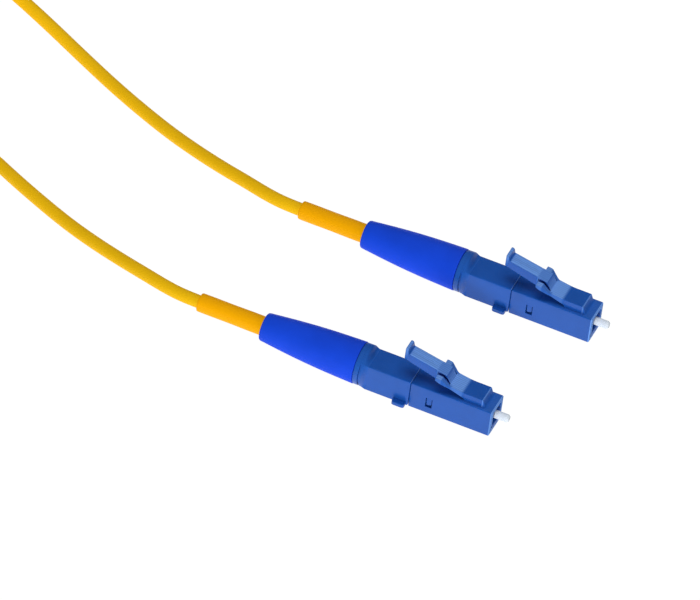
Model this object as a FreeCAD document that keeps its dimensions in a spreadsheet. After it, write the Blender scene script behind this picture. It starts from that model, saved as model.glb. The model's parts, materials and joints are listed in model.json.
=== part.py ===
"""Fibre optic patch cable: a yellow simplex cable with a small latching plug on each end.

Every plug is built in its own frame: x runs forward along the ferrule, with x = 0 at the plug's
front face, y runs across and z runs up, with z = 0 on the ferrule's axis.
The two plugs lie side by side on the surface z = 0, both pointing along +X.
"""
import FreeCAD, Part
import math
import os
import Sketcher

doc = FreeCAD.newDocument("patch_cable")

# Driving dimensions in millimetres

SIZES = {
    # plug body
    "plug_width": 4.5,
    "plug_height": 4.5,
    "axis_rise": 0.3,
    "edge_round": 0.12,
    "front_length": 12.85,
    "opening_size": 2.8,
    "opening_depth": 1.5,
    "stop_wall": 0.8,
    "stop_bore": 2.4,
    "chamber_bore": 3.2,
    "socket_size": 3.5,
    "socket_depth": 4.3,
    "window_inset": 2.55,
    "window_length": 1.05,
    "window_low": 1.1,
    "window_height": 1.7,
    # latch
    "root_front": 1.35,
    "root_rear": 4.8,
    "root_height": 1.27,
    "root_width": 3.3,
    "root_slope": 0.5,
    "foot_back": 7.25,
    "foot_height": 1.62,
    "plateau_back": 8.05,
    "plateau_height": 2.9,
    "plate_rear_height": 4.2,
    "plate_width": 2.2,
    "lever_back": 14.85,
    "lever_low": 3.1,
    "end_wall": 0.55,
    "end_wall_height": 5.1,
    "end_wall_round": 0.4,
    "ear_width": 4.5,
    "ear_tip_back": 6.9,
    "ear_tip_height": 1.3,
    "ear_crest_back": 8.45,
    "ear_crest_height": 2.6,
    "ear_back": 9.35,
    "ear_low": 2.1,
    "ear_high": 2.72,
    # rear body
    "rear_length": 6.3,
    "seam_gap": 0.1,
    "nose_length": 4.2,
    "blend_length": 1.45,
    "blend_hollow": 0.4,
    "corner_trim": 0.8,
    "corner_clear": 0.15,
    "collar_dia": 6.4,
    "groove_width": 0.15,
    "groove_depth": 0.15,
    "ring_length": 0.9,
    "lug_back": 0.25,
    "lug_length": 2.0,
    "lug_height": 0.65,
    "lug_out": 1.0,
    "lug_round": 0.5,
    "tooth_out": 0.35,
    "tube_bore": 2.1,
    # ferrule and what moves with it
    "ferrule_dia": 1.249,
    "relief_width": 0.55,
    "relief_depth": 0.2,
    "ferrule_length": 6.5,
    "ferrule_out": 2.05,
    "ferrule_chamfer": 0.3,
    "chamfer_depth": 0.21,
    "glass_dia": 0.125,
    "glass_bore": 0.127,
    "flange_dia": 2.9,
    "flange_length": 1.5,
    "stem_dia": 1.7,
    "stem_length": 2.0,
    "stub_dia": 1.3,
    "stub_length": 1.0,
    "guide_wall": 0.2,
    "guide_length": 8.5,
    "buffer_dia": 0.9,
    "buffer_clear": 0.1,
    "buffer_tail": 3.5,
    "spring_wire": 0.3,
    "spring_mean": 2.3,
    "spring_turns": 6,
    # crimp and boot
    "post_dia": 2.6,
    "post_bore": 1.3,
    "post_seat": 3.0,
    "post_length": 9.0,
    "post_ridge": 0.12,
    "yarn_wall": 0.2,
    "crimp_wall": 0.3,
    "crimp_neck": 0.8,
    "crimp_tail": 3.2,
    "boot_dia": 6.5,
    "boot_end_dia": 4.25,
    "boot_length": 15.4,
    "boot_bow": 0.2,
    "boot_round": 0.45,
    "sleeve_dia": 2.9,
    "sleeve_clear": 0.25,
    "sleeve_show": 10.3,
    "sleeve_round": 0.2,
    "cable_dia": 2.0,
    # gaps between pieces that only meet, and around pieces that move
    "fit_gap": 0.05,
    "run_gap": 0.06,
    # how the two ends and the coil lie
    "plug_spacing": 25.8,
    "plug_stagger": 5.0,
    "coil_x": -93.0,
    "coil_y": 20.0,
    "coil_mean_radius": 12.0,
    "coil_width": 7.2,
    "coil_height": 8.0,
    "coil_round": 0.9,
    "tie_wall": 0.5,
    "tie_width": 5.0,
}

sheet = doc.addObject("Spreadsheet::Sheet", "Sizes")
for row, (alias, size) in enumerate(SIZES.items(), start=1):
    sheet.set(f"A{row}", alias)
    sheet.set(f"B{row}", str(size))
    sheet.setAlias(f"B{row}", alias)
doc.recompute()


def value(expression):
    """The number that an expression on the sheet stands for."""
    return float(sheet.evalExpression(expression))


# Places worked out from the driving dimensions, as distances behind the front face

BOTTOM = "-(Sizes.plug_height/2 + Sizes.axis_rise)"
TOP = "(Sizes.plug_height/2 - Sizes.axis_rise)"
STOP_BACK = "(Sizes.opening_depth + Sizes.stop_wall)"
SOCKET_FRONT = "(Sizes.front_length - Sizes.socket_depth)"
NOSE_FRONT = "(Sizes.front_length - Sizes.nose_length)"
WINDOW_BACK = "(Sizes.front_length - Sizes.window_inset)"
WINDOW_FRONT = f"({WINDOW_BACK} - Sizes.window_length)"
REAR_FRONT = "(Sizes.front_length + Sizes.seam_gap)"
BLEND_FRONT = "(Sizes.front_length + Sizes.rear_length)"
BLEND_BACK = f"({BLEND_FRONT} + Sizes.blend_length)"
RING_FRONT = f"({BLEND_BACK} + Sizes.groove_width)"
REAR_BACK = f"({RING_FRONT} + Sizes.ring_length)"
BOOT_FRONT = f"({REAR_BACK} + Sizes.fit_gap)"
BOOT_BACK = f"({BOOT_FRONT} + Sizes.boot_length)"
SLEEVE_BACK = f"({BOOT_BACK} + Sizes.sleeve_show)"
POST_FRONT = f"({REAR_BACK} - Sizes.post_seat)"
POST_BACK = f"({POST_FRONT} + Sizes.post_length)"
YARN_FRONT = f"({REAR_BACK} + Sizes.fit_gap)"
YARN_BACK = POST_BACK
CRIMP_FRONT = f"({YARN_FRONT} + Sizes.fit_gap)"
NECK_BACK = f"({YARN_BACK} + Sizes.crimp_neck)"
CRIMP_BACK = f"({NECK_BACK} + Sizes.crimp_tail)"
SLEEVE_FRONT = f"({CRIMP_BACK} + Sizes.sleeve_clear)"
JACKET_FRONT = f"({YARN_BACK} + Sizes.fit_gap)"
FERRULE_BACK = "(Sizes.ferrule_length - Sizes.ferrule_out)"
FLANGE_FRONT = f"({STOP_BACK} + Sizes.run_gap)"
FLANGE_BACK = f"({FLANGE_FRONT} + Sizes.flange_length)"
STEM_BACK = f"({FLANGE_BACK} + Sizes.stem_length)"
STUB_BACK = f"({STEM_BACK} + Sizes.stub_length)"
GUIDE_BACK = f"({STEM_BACK} + Sizes.guide_length)"
BUFFER_FRONT = f"({FERRULE_BACK} + Sizes.fit_gap)"
BUFFER_BACK = f"({JACKET_FRONT} + Sizes.buffer_tail)"
BUFFER_BORE = "(Sizes.buffer_dia + 2*Sizes.buffer_clear)"
POST_R = "Sizes.post_dia/2"
YARN_R = "(Sizes.post_dia/2 + Sizes.yarn_wall)"
CRIMP_R = "(Sizes.post_dia/2 + Sizes.yarn_wall + Sizes.crimp_wall)"
CABLE_R = "Sizes.cable_dia/2"
LEVER_FRONT = "(Sizes.root_rear + Sizes.run_gap)"
AXIS_HEIGHT = f"max(Sizes.boot_dia/2; Sizes.collar_dia/2; -{BOTTOM})"
PLUG_A_X = f"({SLEEVE_BACK} - Sizes.plug_stagger - Sizes.ferrule_out)/2"
PLUG_PLACES = {
    "a": (PLUG_A_X, "-Sizes.plug_spacing/2"),
    "b": (f"{PLUG_A_X} + Sizes.plug_stagger", "Sizes.plug_spacing/2"),
}

pieces = []


def finish_piece(piece, label, end=None):
    """Name a finished piece and set it at its plug's place."""
    piece.Label = label if end is None else f"{label}_{end}"
    if end is not None:
        place_x, place_y = PLUG_PLACES[end]
        piece.setExpression(".Placement.Base.x", place_x)
        piece.setExpression(".Placement.Base.y", place_y)
        piece.setExpression(".Placement.Base.z", AXIS_HEIGHT)
    pieces.append(piece)


# Sketches and features that the pieces share

def outline(body, plane, points, offset=None):
    """A closed sketch; each corner is a pair of expressions.

    A corner that also holds a radius and a side starts an arc, which turns to the left for side 1
    and to the right for side -1.
    """
    sketch = body.newObject("Sketcher::SketchObject", f"{body.Name}_outline")
    own_plane = [item for item in body.Origin.OriginFeatures if item.Role == plane][0]
    sketch.AttachmentSupport = [(own_plane, "")]
    sketch.MapMode = "FlatFace"
    if offset is not None:
        sketch.setExpression(".AttachmentOffset.Base.z", offset)
    corners = [FreeCAD.Vector(value(point[0]), value(point[1]), 0) for point in points]
    count = len(corners)
    ends = []
    for index, point in enumerate(points):
        start = corners[index]
        stop = corners[(index + 1) % count]
        if len(point) == 2:
            sketch.addGeometry(Part.LineSegment(start, stop), False)
            ends.append((1, 2))
        else:
            sketch.addGeometry(arc_between(start, stop, value(point[2]), point[3]), False)
            ends.append((1, 2) if point[3] > 0 else (2, 1))
    for index in range(count):
        after = (index + 1) % count
        join = Sketcher.Constraint("Coincident", index, ends[index][1], after, ends[after][0])
        sketch.addConstraint(join)
    for index, point in enumerate(points):
        corner = (index, ends[index][0])
        hold_corner(sketch, corner, "DistanceX", -2, point[0], corners[index].x)
        hold_corner(sketch, corner, "DistanceY", -1, point[1], corners[index].y)
        if len(point) > 2:
            number = sketch.addConstraint(Sketcher.Constraint("Radius", index, value(point[2])))
            sketch.setExpression(f"Constraints[{number}]", point[2])
    return sketch


def arc_between(start, stop, radius, side):
    """The short arc of one radius from start to stop."""
    chord = stop - start
    across = FreeCAD.Vector(-chord.y, chord.x, 0).normalize()
    centre = (start + stop)*0.5 + across*(side*math.sqrt(radius**2 - chord.Length**2/4))
    circle = Part.Circle(centre, FreeCAD.Vector(0, 0, 1), radius)
    first, last = (start, stop) if side > 0 else (stop, start)
    angles = [math.atan2(point.y - centre.y, point.x - centre.x) for point in (first, last)]
    return Part.ArcOfCircle(circle, angles[0], angles[1])


def hold_corner(sketch, corner, kind, axis, expression, start):
    """Tie one coordinate of a sketch corner to the sheet, or to the axis where it is zero."""
    edge, place = corner
    if expression == "0":
        sketch.addConstraint(Sketcher.Constraint("PointOnObject", edge, place, axis))
        return
    number = sketch.addConstraint(Sketcher.Constraint(kind, -1, 1, edge, place, start))
    sketch.setExpression(f"Constraints[{number}]", expression)


def rectangle(low_u, high_u, low_v, high_v):
    return [(low_u, low_v), (high_u, low_v), (high_u, high_v), (low_u, high_v)]


def square(size, middle="0"):
    half = f"{size}/2"
    return rectangle(f"-{half}", half, f"{middle} - {half}", f"{middle} + {half}")


def pad(body, sketch, length, symmetric=False, backward=False):
    feature = body.newObject("PartDesign::Pad", f"{body.Name}_pad")
    feature.Profile = sketch
    feature.setExpression("Length", length)
    feature.SideType = "Symmetric" if symmetric else "One side"
    feature.Reversed = backward
    doc.recompute()
    return feature


def pocket(body, sketch, length, symmetric=False, forward=False):
    before = body.Shape.Volume
    feature = body.newObject("PartDesign::Pocket", f"{body.Name}_pocket")
    feature.Profile = sketch
    feature.setExpression("Length", length)
    feature.SideType = "Symmetric" if symmetric else "One side"
    feature.Reversed = forward
    doc.recompute()
    if not body.Shape.Volume < before:
        raise ValueError(f"{body.Name}: a pocket cuts nothing")
    return feature


def revolve(body, points):
    """A solid turned about the plug's axis from pairs of place and radius."""
    sketch = outline(body, "XZ_Plane", points)
    feature = body.newObject("PartDesign::Revolution", f"{body.Name}_turned")
    feature.Profile = sketch
    feature.ReferenceAxis = (sketch, ["H_Axis"])
    feature.Angle = 360
    doc.recompute()
    return feature


def groove(body, points):
    """A cut turned about the plug's axis from pairs of place and radius."""
    before = body.Shape.Volume
    sketch = outline(body, "XZ_Plane", points)
    feature = body.newObject("PartDesign::Groove", f"{body.Name}_groove")
    feature.Profile = sketch
    feature.ReferenceAxis = (sketch, ["H_Axis"])
    feature.Angle = 360
    doc.recompute()
    if not body.Shape.Volume < before:
        raise ValueError(f"{body.Name}: a groove cuts nothing")
    return feature


def round_edges(body, feature, radius, chosen):
    """Fillet the edges of a feature that the test picks."""
    names = []
    for number, edge in enumerate(feature.Shape.Edges, start=1):
        if chosen(edge):
            names.append(f"Edge{number}")
    fillet = body.newObject("PartDesign::Fillet", f"{body.Name}_fillet")
    fillet.Base = (feature, names)
    fillet.setExpression("Radius", radius)
    doc.recompute()
    return fillet


NEAR = 1e-4


def along(edge, axis):
    """True for a straight edge that runs along one axis, 0 to 2."""
    if edge.Curve.TypeId != "Part::GeomLine":
        return False
    return abs(abs(edge.tangentAt(edge.FirstParameter)[axis]) - 1) < NEAR


def at(edge, axis, place):
    """True where both ends of an edge lie at one place on an axis."""
    return all(abs(vertex.Point[axis] - place) < NEAR for vertex in edge.Vertexes)


def new_body(label, end):
    return doc.addObject("PartDesign::Body", f"{label}_{end}")


# Front housing: square shell with the ferrule's opening, spring chamber, snap windows and latch root

def make_front_housing(end):
    body = new_body("front_housing", end)
    section = rectangle("-Sizes.plug_width/2", "Sizes.plug_width/2", BOTTOM, TOP)
    shell = pad(body, outline(body, "YZ_Plane", section), "Sizes.front_length", backward=True)
    round_edges(body, shell, "Sizes.edge_round", lambda edge: along(edge, 0))
    root = [
        ("-Sizes.root_rear", f"{TOP} - Sizes.edge_round"),
        ("-Sizes.root_front", f"{TOP} - Sizes.edge_round"),
        ("-Sizes.root_front", TOP),
        ("-(Sizes.root_front + Sizes.root_slope)", f"{TOP} + Sizes.root_height"),
        ("-Sizes.root_rear", f"{TOP} + Sizes.root_height"),
    ]
    pad(body, outline(body, "XZ_Plane", root), "Sizes.root_width", symmetric=True)
    mouth = outline(body, "YZ_Plane", square("Sizes.opening_size"))
    pocket(body, mouth, "Sizes.opening_depth")
    groove(body, [
        ("-Sizes.opening_depth", "0"),
        ("-Sizes.opening_depth", "Sizes.stop_bore/2"),
        (f"-{STOP_BACK}", "Sizes.stop_bore/2"),
        (f"-{STOP_BACK}", "Sizes.chamber_bore/2"),
        (f"-{SOCKET_FRONT}", "Sizes.chamber_bore/2"),
        (f"-{SOCKET_FRONT}", "0"),
    ])
    socket = outline(body, "YZ_Plane", square("Sizes.socket_size"), offset="-Sizes.front_length")
    pocket(body, socket, "Sizes.socket_depth", forward=True)
    window = rectangle(
        f"-{WINDOW_BACK}", f"-{WINDOW_FRONT}",
        f"{BOTTOM} + Sizes.window_low", f"{BOTTOM} + Sizes.window_low + Sizes.window_height",
    )
    pocket(body, outline(body, "XZ_Plane", window), "2*Sizes.plug_width", symmetric=True)
    finish_piece(body, "front_housing", end)


# Latch lever: thin beam, thumb plate with an end wall, and a locking ear on each side

def lever_underside(back):
    """Height of the lever's straight underside at a distance behind the front face."""
    rise = f"(Sizes.lever_low - Sizes.run_gap)/(Sizes.lever_back - {LEVER_FRONT})"
    return f"{TOP} + Sizes.run_gap + ({back} - {LEVER_FRONT})*{rise}"


def make_latch_lever(end):
    body = new_body("latch_lever", end)
    beam = [
        (f"-{LEVER_FRONT}", f"{TOP} + Sizes.run_gap"),
        (f"-{LEVER_FRONT}", f"{TOP} + Sizes.root_height"),
        ("-Sizes.foot_back", f"{TOP} + Sizes.foot_height"),
        ("-Sizes.ear_crest_back", f"{TOP} + Sizes.foot_height"),
        ("-Sizes.ear_crest_back", lever_underside("Sizes.ear_crest_back")),
    ]
    pad(body, outline(body, "XZ_Plane", beam), "Sizes.root_width", symmetric=True)
    wall_back = "(Sizes.lever_back - Sizes.end_wall)"
    wall_top = f"{TOP} + Sizes.end_wall_height"
    plate = [
        ("-Sizes.foot_back", lever_underside("Sizes.foot_back")),
        ("-Sizes.foot_back", f"{TOP} + Sizes.foot_height"),
        ("-Sizes.plateau_back", f"{TOP} + Sizes.plateau_height"),
        (f"-{wall_back}", f"{TOP} + Sizes.plate_rear_height"),
        (f"-{wall_back}", wall_top),
        ("-Sizes.lever_back", wall_top),
        ("-Sizes.lever_back", f"{TOP} + Sizes.lever_low"),
    ]
    thumb = pad(body, outline(body, "XZ_Plane", plate), "Sizes.plate_width", symmetric=True)
    wall_edge = value(wall_top)
    wall_side = value("Sizes.plate_width/2")
    corners = round_edges(
        body, thumb, "Sizes.end_wall_round",
        lambda edge: along(edge, 0) and at(edge, 2, wall_edge)
        and (at(edge, 1, wall_side) or at(edge, 1, -wall_side)),
    )
    ear = [
        ("-Sizes.ear_tip_back", f"{TOP} + Sizes.ear_tip_height"),
        ("-Sizes.ear_crest_back", f"{TOP} + Sizes.ear_crest_height"),
        ("-Sizes.ear_back", f"{TOP} + Sizes.ear_high"),
        ("-Sizes.ear_back", f"{TOP} + Sizes.ear_low"),
    ]
    body.Tip = corners
    pad(body, outline(body, "XZ_Plane", ear), "Sizes.ear_width", symmetric=True)
    # in plan each ear narrows forward to the beam's width
    for side in ("", "-"):
        taper = [
            ("-Sizes.ear_tip_back", f"{side}Sizes.root_width/2"),
            ("-Sizes.ear_crest_back", f"{side}Sizes.ear_width/2"),
            ("-Sizes.ear_tip_back", f"{side}Sizes.ear_width/2"),
        ]
        pocket(body, outline(body, "XY_Plane", taper), "4*Sizes.plug_height", symmetric=True)
    finish_piece(body, "latch_lever", end)


# Rear housing: square body with a nose that snaps into the front housing, and a round collar

def make_rear_housing(end):
    body = new_body("rear_housing", end)
    section = rectangle("-Sizes.plug_width/2", "Sizes.plug_width/2", BOTTOM, TOP)
    start = f"-{REAR_FRONT}"
    square_part = outline(body, "YZ_Plane", section, offset=start)
    block = pad(body, square_part, f"{BLEND_BACK} - {REAR_FRONT}", backward=True)
    round_edges(body, block, "Sizes.edge_round", lambda edge: along(edge, 0))
    nose = outline(body, "YZ_Plane", square("(Sizes.socket_size - 2*Sizes.fit_gap)"), offset=start)
    pad(body, nose, f"{REAR_FRONT} - {NOSE_FRONT}")
    tooth = rectangle(
        f"-({WINDOW_BACK} - Sizes.fit_gap)",
        f"-({WINDOW_FRONT} + Sizes.fit_gap)",
        f"{BOTTOM} + Sizes.window_low + Sizes.fit_gap",
        f"{BOTTOM} + Sizes.window_low + Sizes.window_height - Sizes.fit_gap",
    )
    pad(body, outline(body, "XZ_Plane", tooth), "Sizes.socket_size + 2*Sizes.tooth_out", symmetric=True)
    lug_front = f"({REAR_FRONT} + Sizes.lug_back)"
    lug = rectangle(
        f"-({lug_front} + Sizes.lug_length)", f"-{lug_front}", BOTTOM, f"{BOTTOM} + Sizes.lug_height",
    )
    lugs = pad(body, outline(body, "XZ_Plane", lug), "Sizes.plug_width + 2*Sizes.lug_out", symmetric=True)
    lug_side = value("Sizes.plug_width/2 + Sizes.lug_out")
    round_edges(
        body, lugs, "Sizes.lug_round",
        lambda edge: along(edge, 2) and (at(edge, 1, lug_side) or at(edge, 1, -lug_side)),
    )
    # the square's corners run out under the collar's rim
    trim_front = f"({BLEND_BACK} - Sizes.corner_trim)"
    corner = "sqrt((Sizes.plug_width/2)^2 + (Sizes.plug_height/2 + Sizes.axis_rise)^2)"
    groove(body, [
        (f"-{trim_front}", corner),
        (f"-{BLEND_BACK}", f"min(Sizes.collar_dia/2; {corner}) - Sizes.corner_clear"),
        (f"-{BLEND_BACK}", f"{corner} + Sizes.corner_trim"),
        (f"-{trim_front}", f"{corner} + Sizes.corner_trim"),
    ])
    # a hollow arc and a round one lead from the level of the square's top to the collar's rim
    rise = f"(Sizes.collar_dia/2 - {TOP})"
    both_radii = f"(Sizes.blend_length^2 + {rise}^2)/(2*{rise})"
    hollow_r = f"Sizes.blend_hollow*{both_radii}"
    round_r = f"(1 - Sizes.blend_hollow)*{both_radii}"
    meet = f"({BLEND_FRONT} + Sizes.blend_hollow*Sizes.blend_length)"
    revolve(body, [
        (f"-{BLEND_FRONT}", "0"),
        (f"-{BLEND_FRONT}", TOP, hollow_r, -1),
        (f"-{meet}", f"{TOP} + Sizes.blend_hollow*{rise}", round_r, 1),
        (f"-{BLEND_BACK}", "Sizes.collar_dia/2"),
        (f"-{REAR_BACK}", "Sizes.collar_dia/2"),
        (f"-{REAR_BACK}", "0"),
    ])
    groove(body, rectangle(
        f"-{RING_FRONT}", f"-({RING_FRONT} - Sizes.groove_width)",
        "Sizes.collar_dia/2 - Sizes.groove_depth", "Sizes.collar_dia/2 + Sizes.groove_depth",
    ))
    groove(body, [
        (f"-{NOSE_FRONT}", "0"),
        (f"-{NOSE_FRONT}", "Sizes.tube_bore/2"),
        (f"-{POST_FRONT}", "Sizes.tube_bore/2"),
        (f"-{POST_FRONT}", POST_R),
        (f"-{REAR_BACK}", POST_R),
        (f"-{REAR_BACK}", "0"),
    ])
    finish_piece(body, "rear_housing", end)


# Ferrule and the pieces that slide with it

def turned_piece(label, end, points):
    body = new_body(label, end)
    revolve(body, points)
    finish_piece(body, label, end)


def tube(label, end, front, back, outer, inner):
    turned_piece(label, end, [
        (f"-{front}", inner), (f"-{front}", outer), (f"-{back}", outer), (f"-{back}", inner),
    ])


def make_ferrule_group(end):
    chamfered = "(Sizes.ferrule_dia/2 - Sizes.chamfer_depth)"
    relief_front = f"({FLANGE_FRONT} - Sizes.relief_width)"
    turned_piece("ferrule", end, [
        ("Sizes.ferrule_out", "Sizes.glass_bore/2"),
        ("Sizes.ferrule_out", chamfered),
        ("Sizes.ferrule_out - Sizes.ferrule_chamfer", "Sizes.ferrule_dia/2"),
        (f"-{relief_front}", "Sizes.ferrule_dia/2"),
        (f"-{relief_front}", "Sizes.ferrule_dia/2 - Sizes.relief_depth"),
        (f"-{FLANGE_FRONT}", "Sizes.ferrule_dia/2 - Sizes.relief_depth"),
        (f"-{FLANGE_FRONT}", "Sizes.ferrule_dia/2"),
        (f"-{FERRULE_BACK}", "Sizes.ferrule_dia/2"),
        (f"-{FERRULE_BACK}", "Sizes.glass_bore/2"),
    ])
    make_flange(end)
    stub = "Sizes.stub_dia/2"
    tube("guide_tube", end, STEM_BACK, GUIDE_BACK, f"({stub} + Sizes.guide_wall)", stub)
    turned_piece("fibre", end, [
        ("Sizes.ferrule_out", "0"),
        ("Sizes.ferrule_out", "Sizes.glass_dia/2"),
        (f"-{BUFFER_FRONT}", "Sizes.glass_dia/2"),
        (f"-{BUFFER_FRONT}", "Sizes.buffer_dia/2"),
        (f"-{BUFFER_BACK}", "Sizes.buffer_dia/2"),
        (f"-{BUFFER_BACK}", "0"),
    ])


def make_flange(end):
    """Six-sided metal holder for the ferrule, with a round stem inside the spring."""
    body = new_body("ferrule_flange", end)
    corners = []
    for step in range(6):
        turn = 60*step
        corners.append((f"Sizes.flange_dia/2*cos({turn})", f"Sizes.flange_dia/2*sin({turn})"))
    # two corners lie on the y axis of the section, where the height is zero
    corners[0] = ("Sizes.flange_dia/2", "0")
    corners[3] = ("-Sizes.flange_dia/2", "0")
    hexagon = outline(body, "YZ_Plane", corners, offset=f"-{FLANGE_FRONT}")
    pad(body, hexagon, "Sizes.flange_length", backward=True)
    revolve(body, [
        (f"-{FLANGE_BACK}", "0"),
        (f"-{FLANGE_BACK}", "Sizes.stem_dia/2"),
        (f"-{STEM_BACK}", "Sizes.stem_dia/2"),
        (f"-{STEM_BACK}", "Sizes.stub_dia/2"),
        (f"-{STUB_BACK}", "Sizes.stub_dia/2"),
        (f"-{STUB_BACK}", "0"),
    ])
    groove(body, [
        (f"-{FLANGE_FRONT}", "0"),
        (f"-{FLANGE_FRONT}", "Sizes.ferrule_dia/2"),
        (f"-{FERRULE_BACK}", "Sizes.ferrule_dia/2"),
        (f"-{FERRULE_BACK}", f"{BUFFER_BORE}/2"),
        (f"-{STUB_BACK}", f"{BUFFER_BORE}/2"),
        (f"-{STUB_BACK}", "0"),
    ])
    finish_piece(body, "ferrule_flange", end)


def make_spring(end):
    """Compression spring between the flange and the rear housing's nose."""
    length = f"({NOSE_FRONT} - {FLANGE_BACK} - 2*Sizes.fit_gap)"
    helix = doc.addObject("Part::Helix", f"spring_line_{end}")
    helix.setExpression("Radius", "Sizes.spring_mean/2")
    helix.setExpression("Height", f"{length} - Sizes.spring_wire")
    helix.setExpression("Pitch", f"({length} - Sizes.spring_wire)/Sizes.spring_turns")
    wire = doc.addObject("Part::Circle", f"spring_wire_{end}")
    wire.setExpression("Radius", "Sizes.spring_wire/2")
    upright = FreeCAD.Rotation(FreeCAD.Vector(1, 0, 0), 90)
    wire.Placement = FreeCAD.Placement(FreeCAD.Vector(0, 0, 0), upright)
    wire.setExpression(".Placement.Base.x", "Sizes.spring_mean/2")
    doc.recompute()
    spring = doc.addObject("Part::Sweep", f"ferrule_spring_{end}")
    spring.Sections = [wire]
    spring.Spine = (helix, [f"Edge{number + 1}" for number in range(len(helix.Shape.Edges))])
    spring.Solid = True
    spring.Frenet = True
    along_plug = FreeCAD.Rotation(FreeCAD.Vector(0, 1, 0), 90)
    spring.Placement = FreeCAD.Placement(FreeCAD.Vector(0, 0, 0), along_plug)
    finish_piece(spring, "ferrule_spring", end)
    place_x, _ = PLUG_PLACES[end]
    spring_start = f"{NOSE_FRONT} - Sizes.fit_gap - Sizes.spring_wire/2"
    spring.setExpression(".Placement.Base.x", f"{place_x} - ({spring_start})")


# Crimp: ridged post, aramid yarn over it, and the metal sleeve that grips yarn and jacket

def make_crimp_group(end):
    ridge_low = f"({POST_R} - Sizes.post_ridge)"
    post = [(f"-{POST_FRONT}", "Sizes.post_bore/2"), (f"-{POST_FRONT}", POST_R)]
    ridges = 4
    for number in range(ridges):
        ridge_front = f"({YARN_FRONT} + ({POST_BACK} - {YARN_FRONT})*{2*number + 1}/{2*ridges + 1})"
        ridge_back = f"({YARN_FRONT} + ({POST_BACK} - {YARN_FRONT})*{2*number + 2}/{2*ridges + 1})"
        post += [(f"-{ridge_front}", POST_R), (f"-{ridge_front}", ridge_low)]
        post += [(f"-{ridge_back}", ridge_low), (f"-{ridge_back}", POST_R)]
    post += [(f"-{POST_BACK}", POST_R), (f"-{POST_BACK}", "Sizes.post_bore/2")]
    turned_piece("crimp_post", end, post)
    tube("aramid_yarn", end, YARN_FRONT, YARN_BACK, YARN_R, POST_R)
    tail_r = f"({CABLE_R} + Sizes.crimp_wall)"
    turned_piece("crimp_sleeve", end, [
        (f"-{CRIMP_FRONT}", YARN_R),
        (f"-{CRIMP_FRONT}", CRIMP_R),
        (f"-{YARN_BACK}", CRIMP_R),
        (f"-{NECK_BACK}", tail_r),
        (f"-{CRIMP_BACK}", tail_r),
        (f"-{CRIMP_BACK}", CABLE_R),
        (f"-{NECK_BACK}", CABLE_R),
        (f"-{YARN_BACK}", YARN_R),
    ])
    tube("jacket_end", end, JACKET_FRONT, SLEEVE_BACK, CABLE_R, f"{BUFFER_BORE}/2")


# Boot and strain sleeve

def make_boot_group(end):
    body = new_body("boot", end)
    crimp_clear = f"({CRIMP_R} + Sizes.fit_gap)"
    sleeve_r = "Sizes.sleeve_dia/2"
    # the boot swells a little between its ends, along one long arc
    narrowing = "(Sizes.boot_dia - Sizes.boot_end_dia)/2"
    chord_square = f"(Sizes.boot_length^2 + ({narrowing})^2)"
    swell_r = f"({chord_square}/4 + Sizes.boot_bow^2)/(2*Sizes.boot_bow)"
    cone = revolve(body, [
        (f"-{BOOT_FRONT}", crimp_clear),
        (f"-{BOOT_FRONT}", "Sizes.boot_dia/2", swell_r, 1),
        (f"-{BOOT_BACK}", "Sizes.boot_end_dia/2"),
        (f"-{BOOT_BACK}", sleeve_r),
        (f"-{SLEEVE_FRONT}", sleeve_r),
        (f"-{SLEEVE_FRONT}", crimp_clear),
    ])
    rear = value(f"-{BOOT_BACK}")
    rim = value("Sizes.boot_end_dia/2")
    round_edges(
        body, cone, "Sizes.boot_round",
        lambda edge: edge.Curve.TypeId == "Part::GeomCircle"
        and at(edge, 0, rear) and abs(edge.Curve.Radius - rim) < NEAR,
    )
    finish_piece(body, "boot", end)
    turned_piece("strain_sleeve", end, [
        (f"-{SLEEVE_FRONT}", CABLE_R),
        (f"-{SLEEVE_FRONT}", sleeve_r),
        (f"-({SLEEVE_BACK} - Sizes.sleeve_round)", sleeve_r),
        (f"-{SLEEVE_BACK}", f"({sleeve_r} - Sizes.sleeve_round)"),
        (f"-{SLEEVE_BACK}", CABLE_R),
    ])


for plug_end in PLUG_PLACES:
    make_front_housing(plug_end)
    make_latch_lever(plug_end)
    make_rear_housing(plug_end)
    make_ferrule_group(plug_end)
    make_spring(plug_end)
    make_crimp_group(plug_end)
    make_boot_group(plug_end)


# Cable between the plugs: a free run from each sleeve, and a tied coil of the rest

def sleeve_exit(end):
    """Where the cable leaves a plug's strain sleeve."""
    place_x, place_y = PLUG_PLACES[end]
    return (value(f"{place_x} - {SLEEVE_BACK}"), value(place_y), value(AXIS_HEIGHT))


ROUTE_A = [
    sleeve_exit("a"),
    (-29.8, -12.9, 3.25),
    (-33.0, -12.3, 3.15),
    (-37.0, -10.95, 2.78),
    (-41.2, -9.45, 2.25),
    (-46.9, -7.15, 1.5),
    (-52.7, -4.65, 1.0),
    (-61.5, -0.65, 1.0),
    (-68.5, 3.0, 1.0),
    (-76.0, 5.4, 1.0),
    (-83.0, 6.2, 1.15),
    (-88.3, 6.0, 1.35),
    (-93.0, 5.4, 1.5),
]
ROUTE_B = [
    sleeve_exit("b"),
    (-24.8, 12.9, 3.25),
    (-28.0, 13.5, 3.15),
    (-32.0, 14.9, 2.78),
    (-36.4, 16.4, 2.25),
    (-42.1, 18.75, 1.5),
    (-47.9, 21.25, 1.0),
    (-56.5, 25.1, 1.0),
    (-64.0, 28.6, 1.5),
    (-72.0, 31.7, 3.0),
    (-80.0, 33.8, 5.2),
    (-87.0, 34.6, 6.9),
    (-93.0, 34.6, 7.5),
]
ARC_SHARE = 0.45


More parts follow.
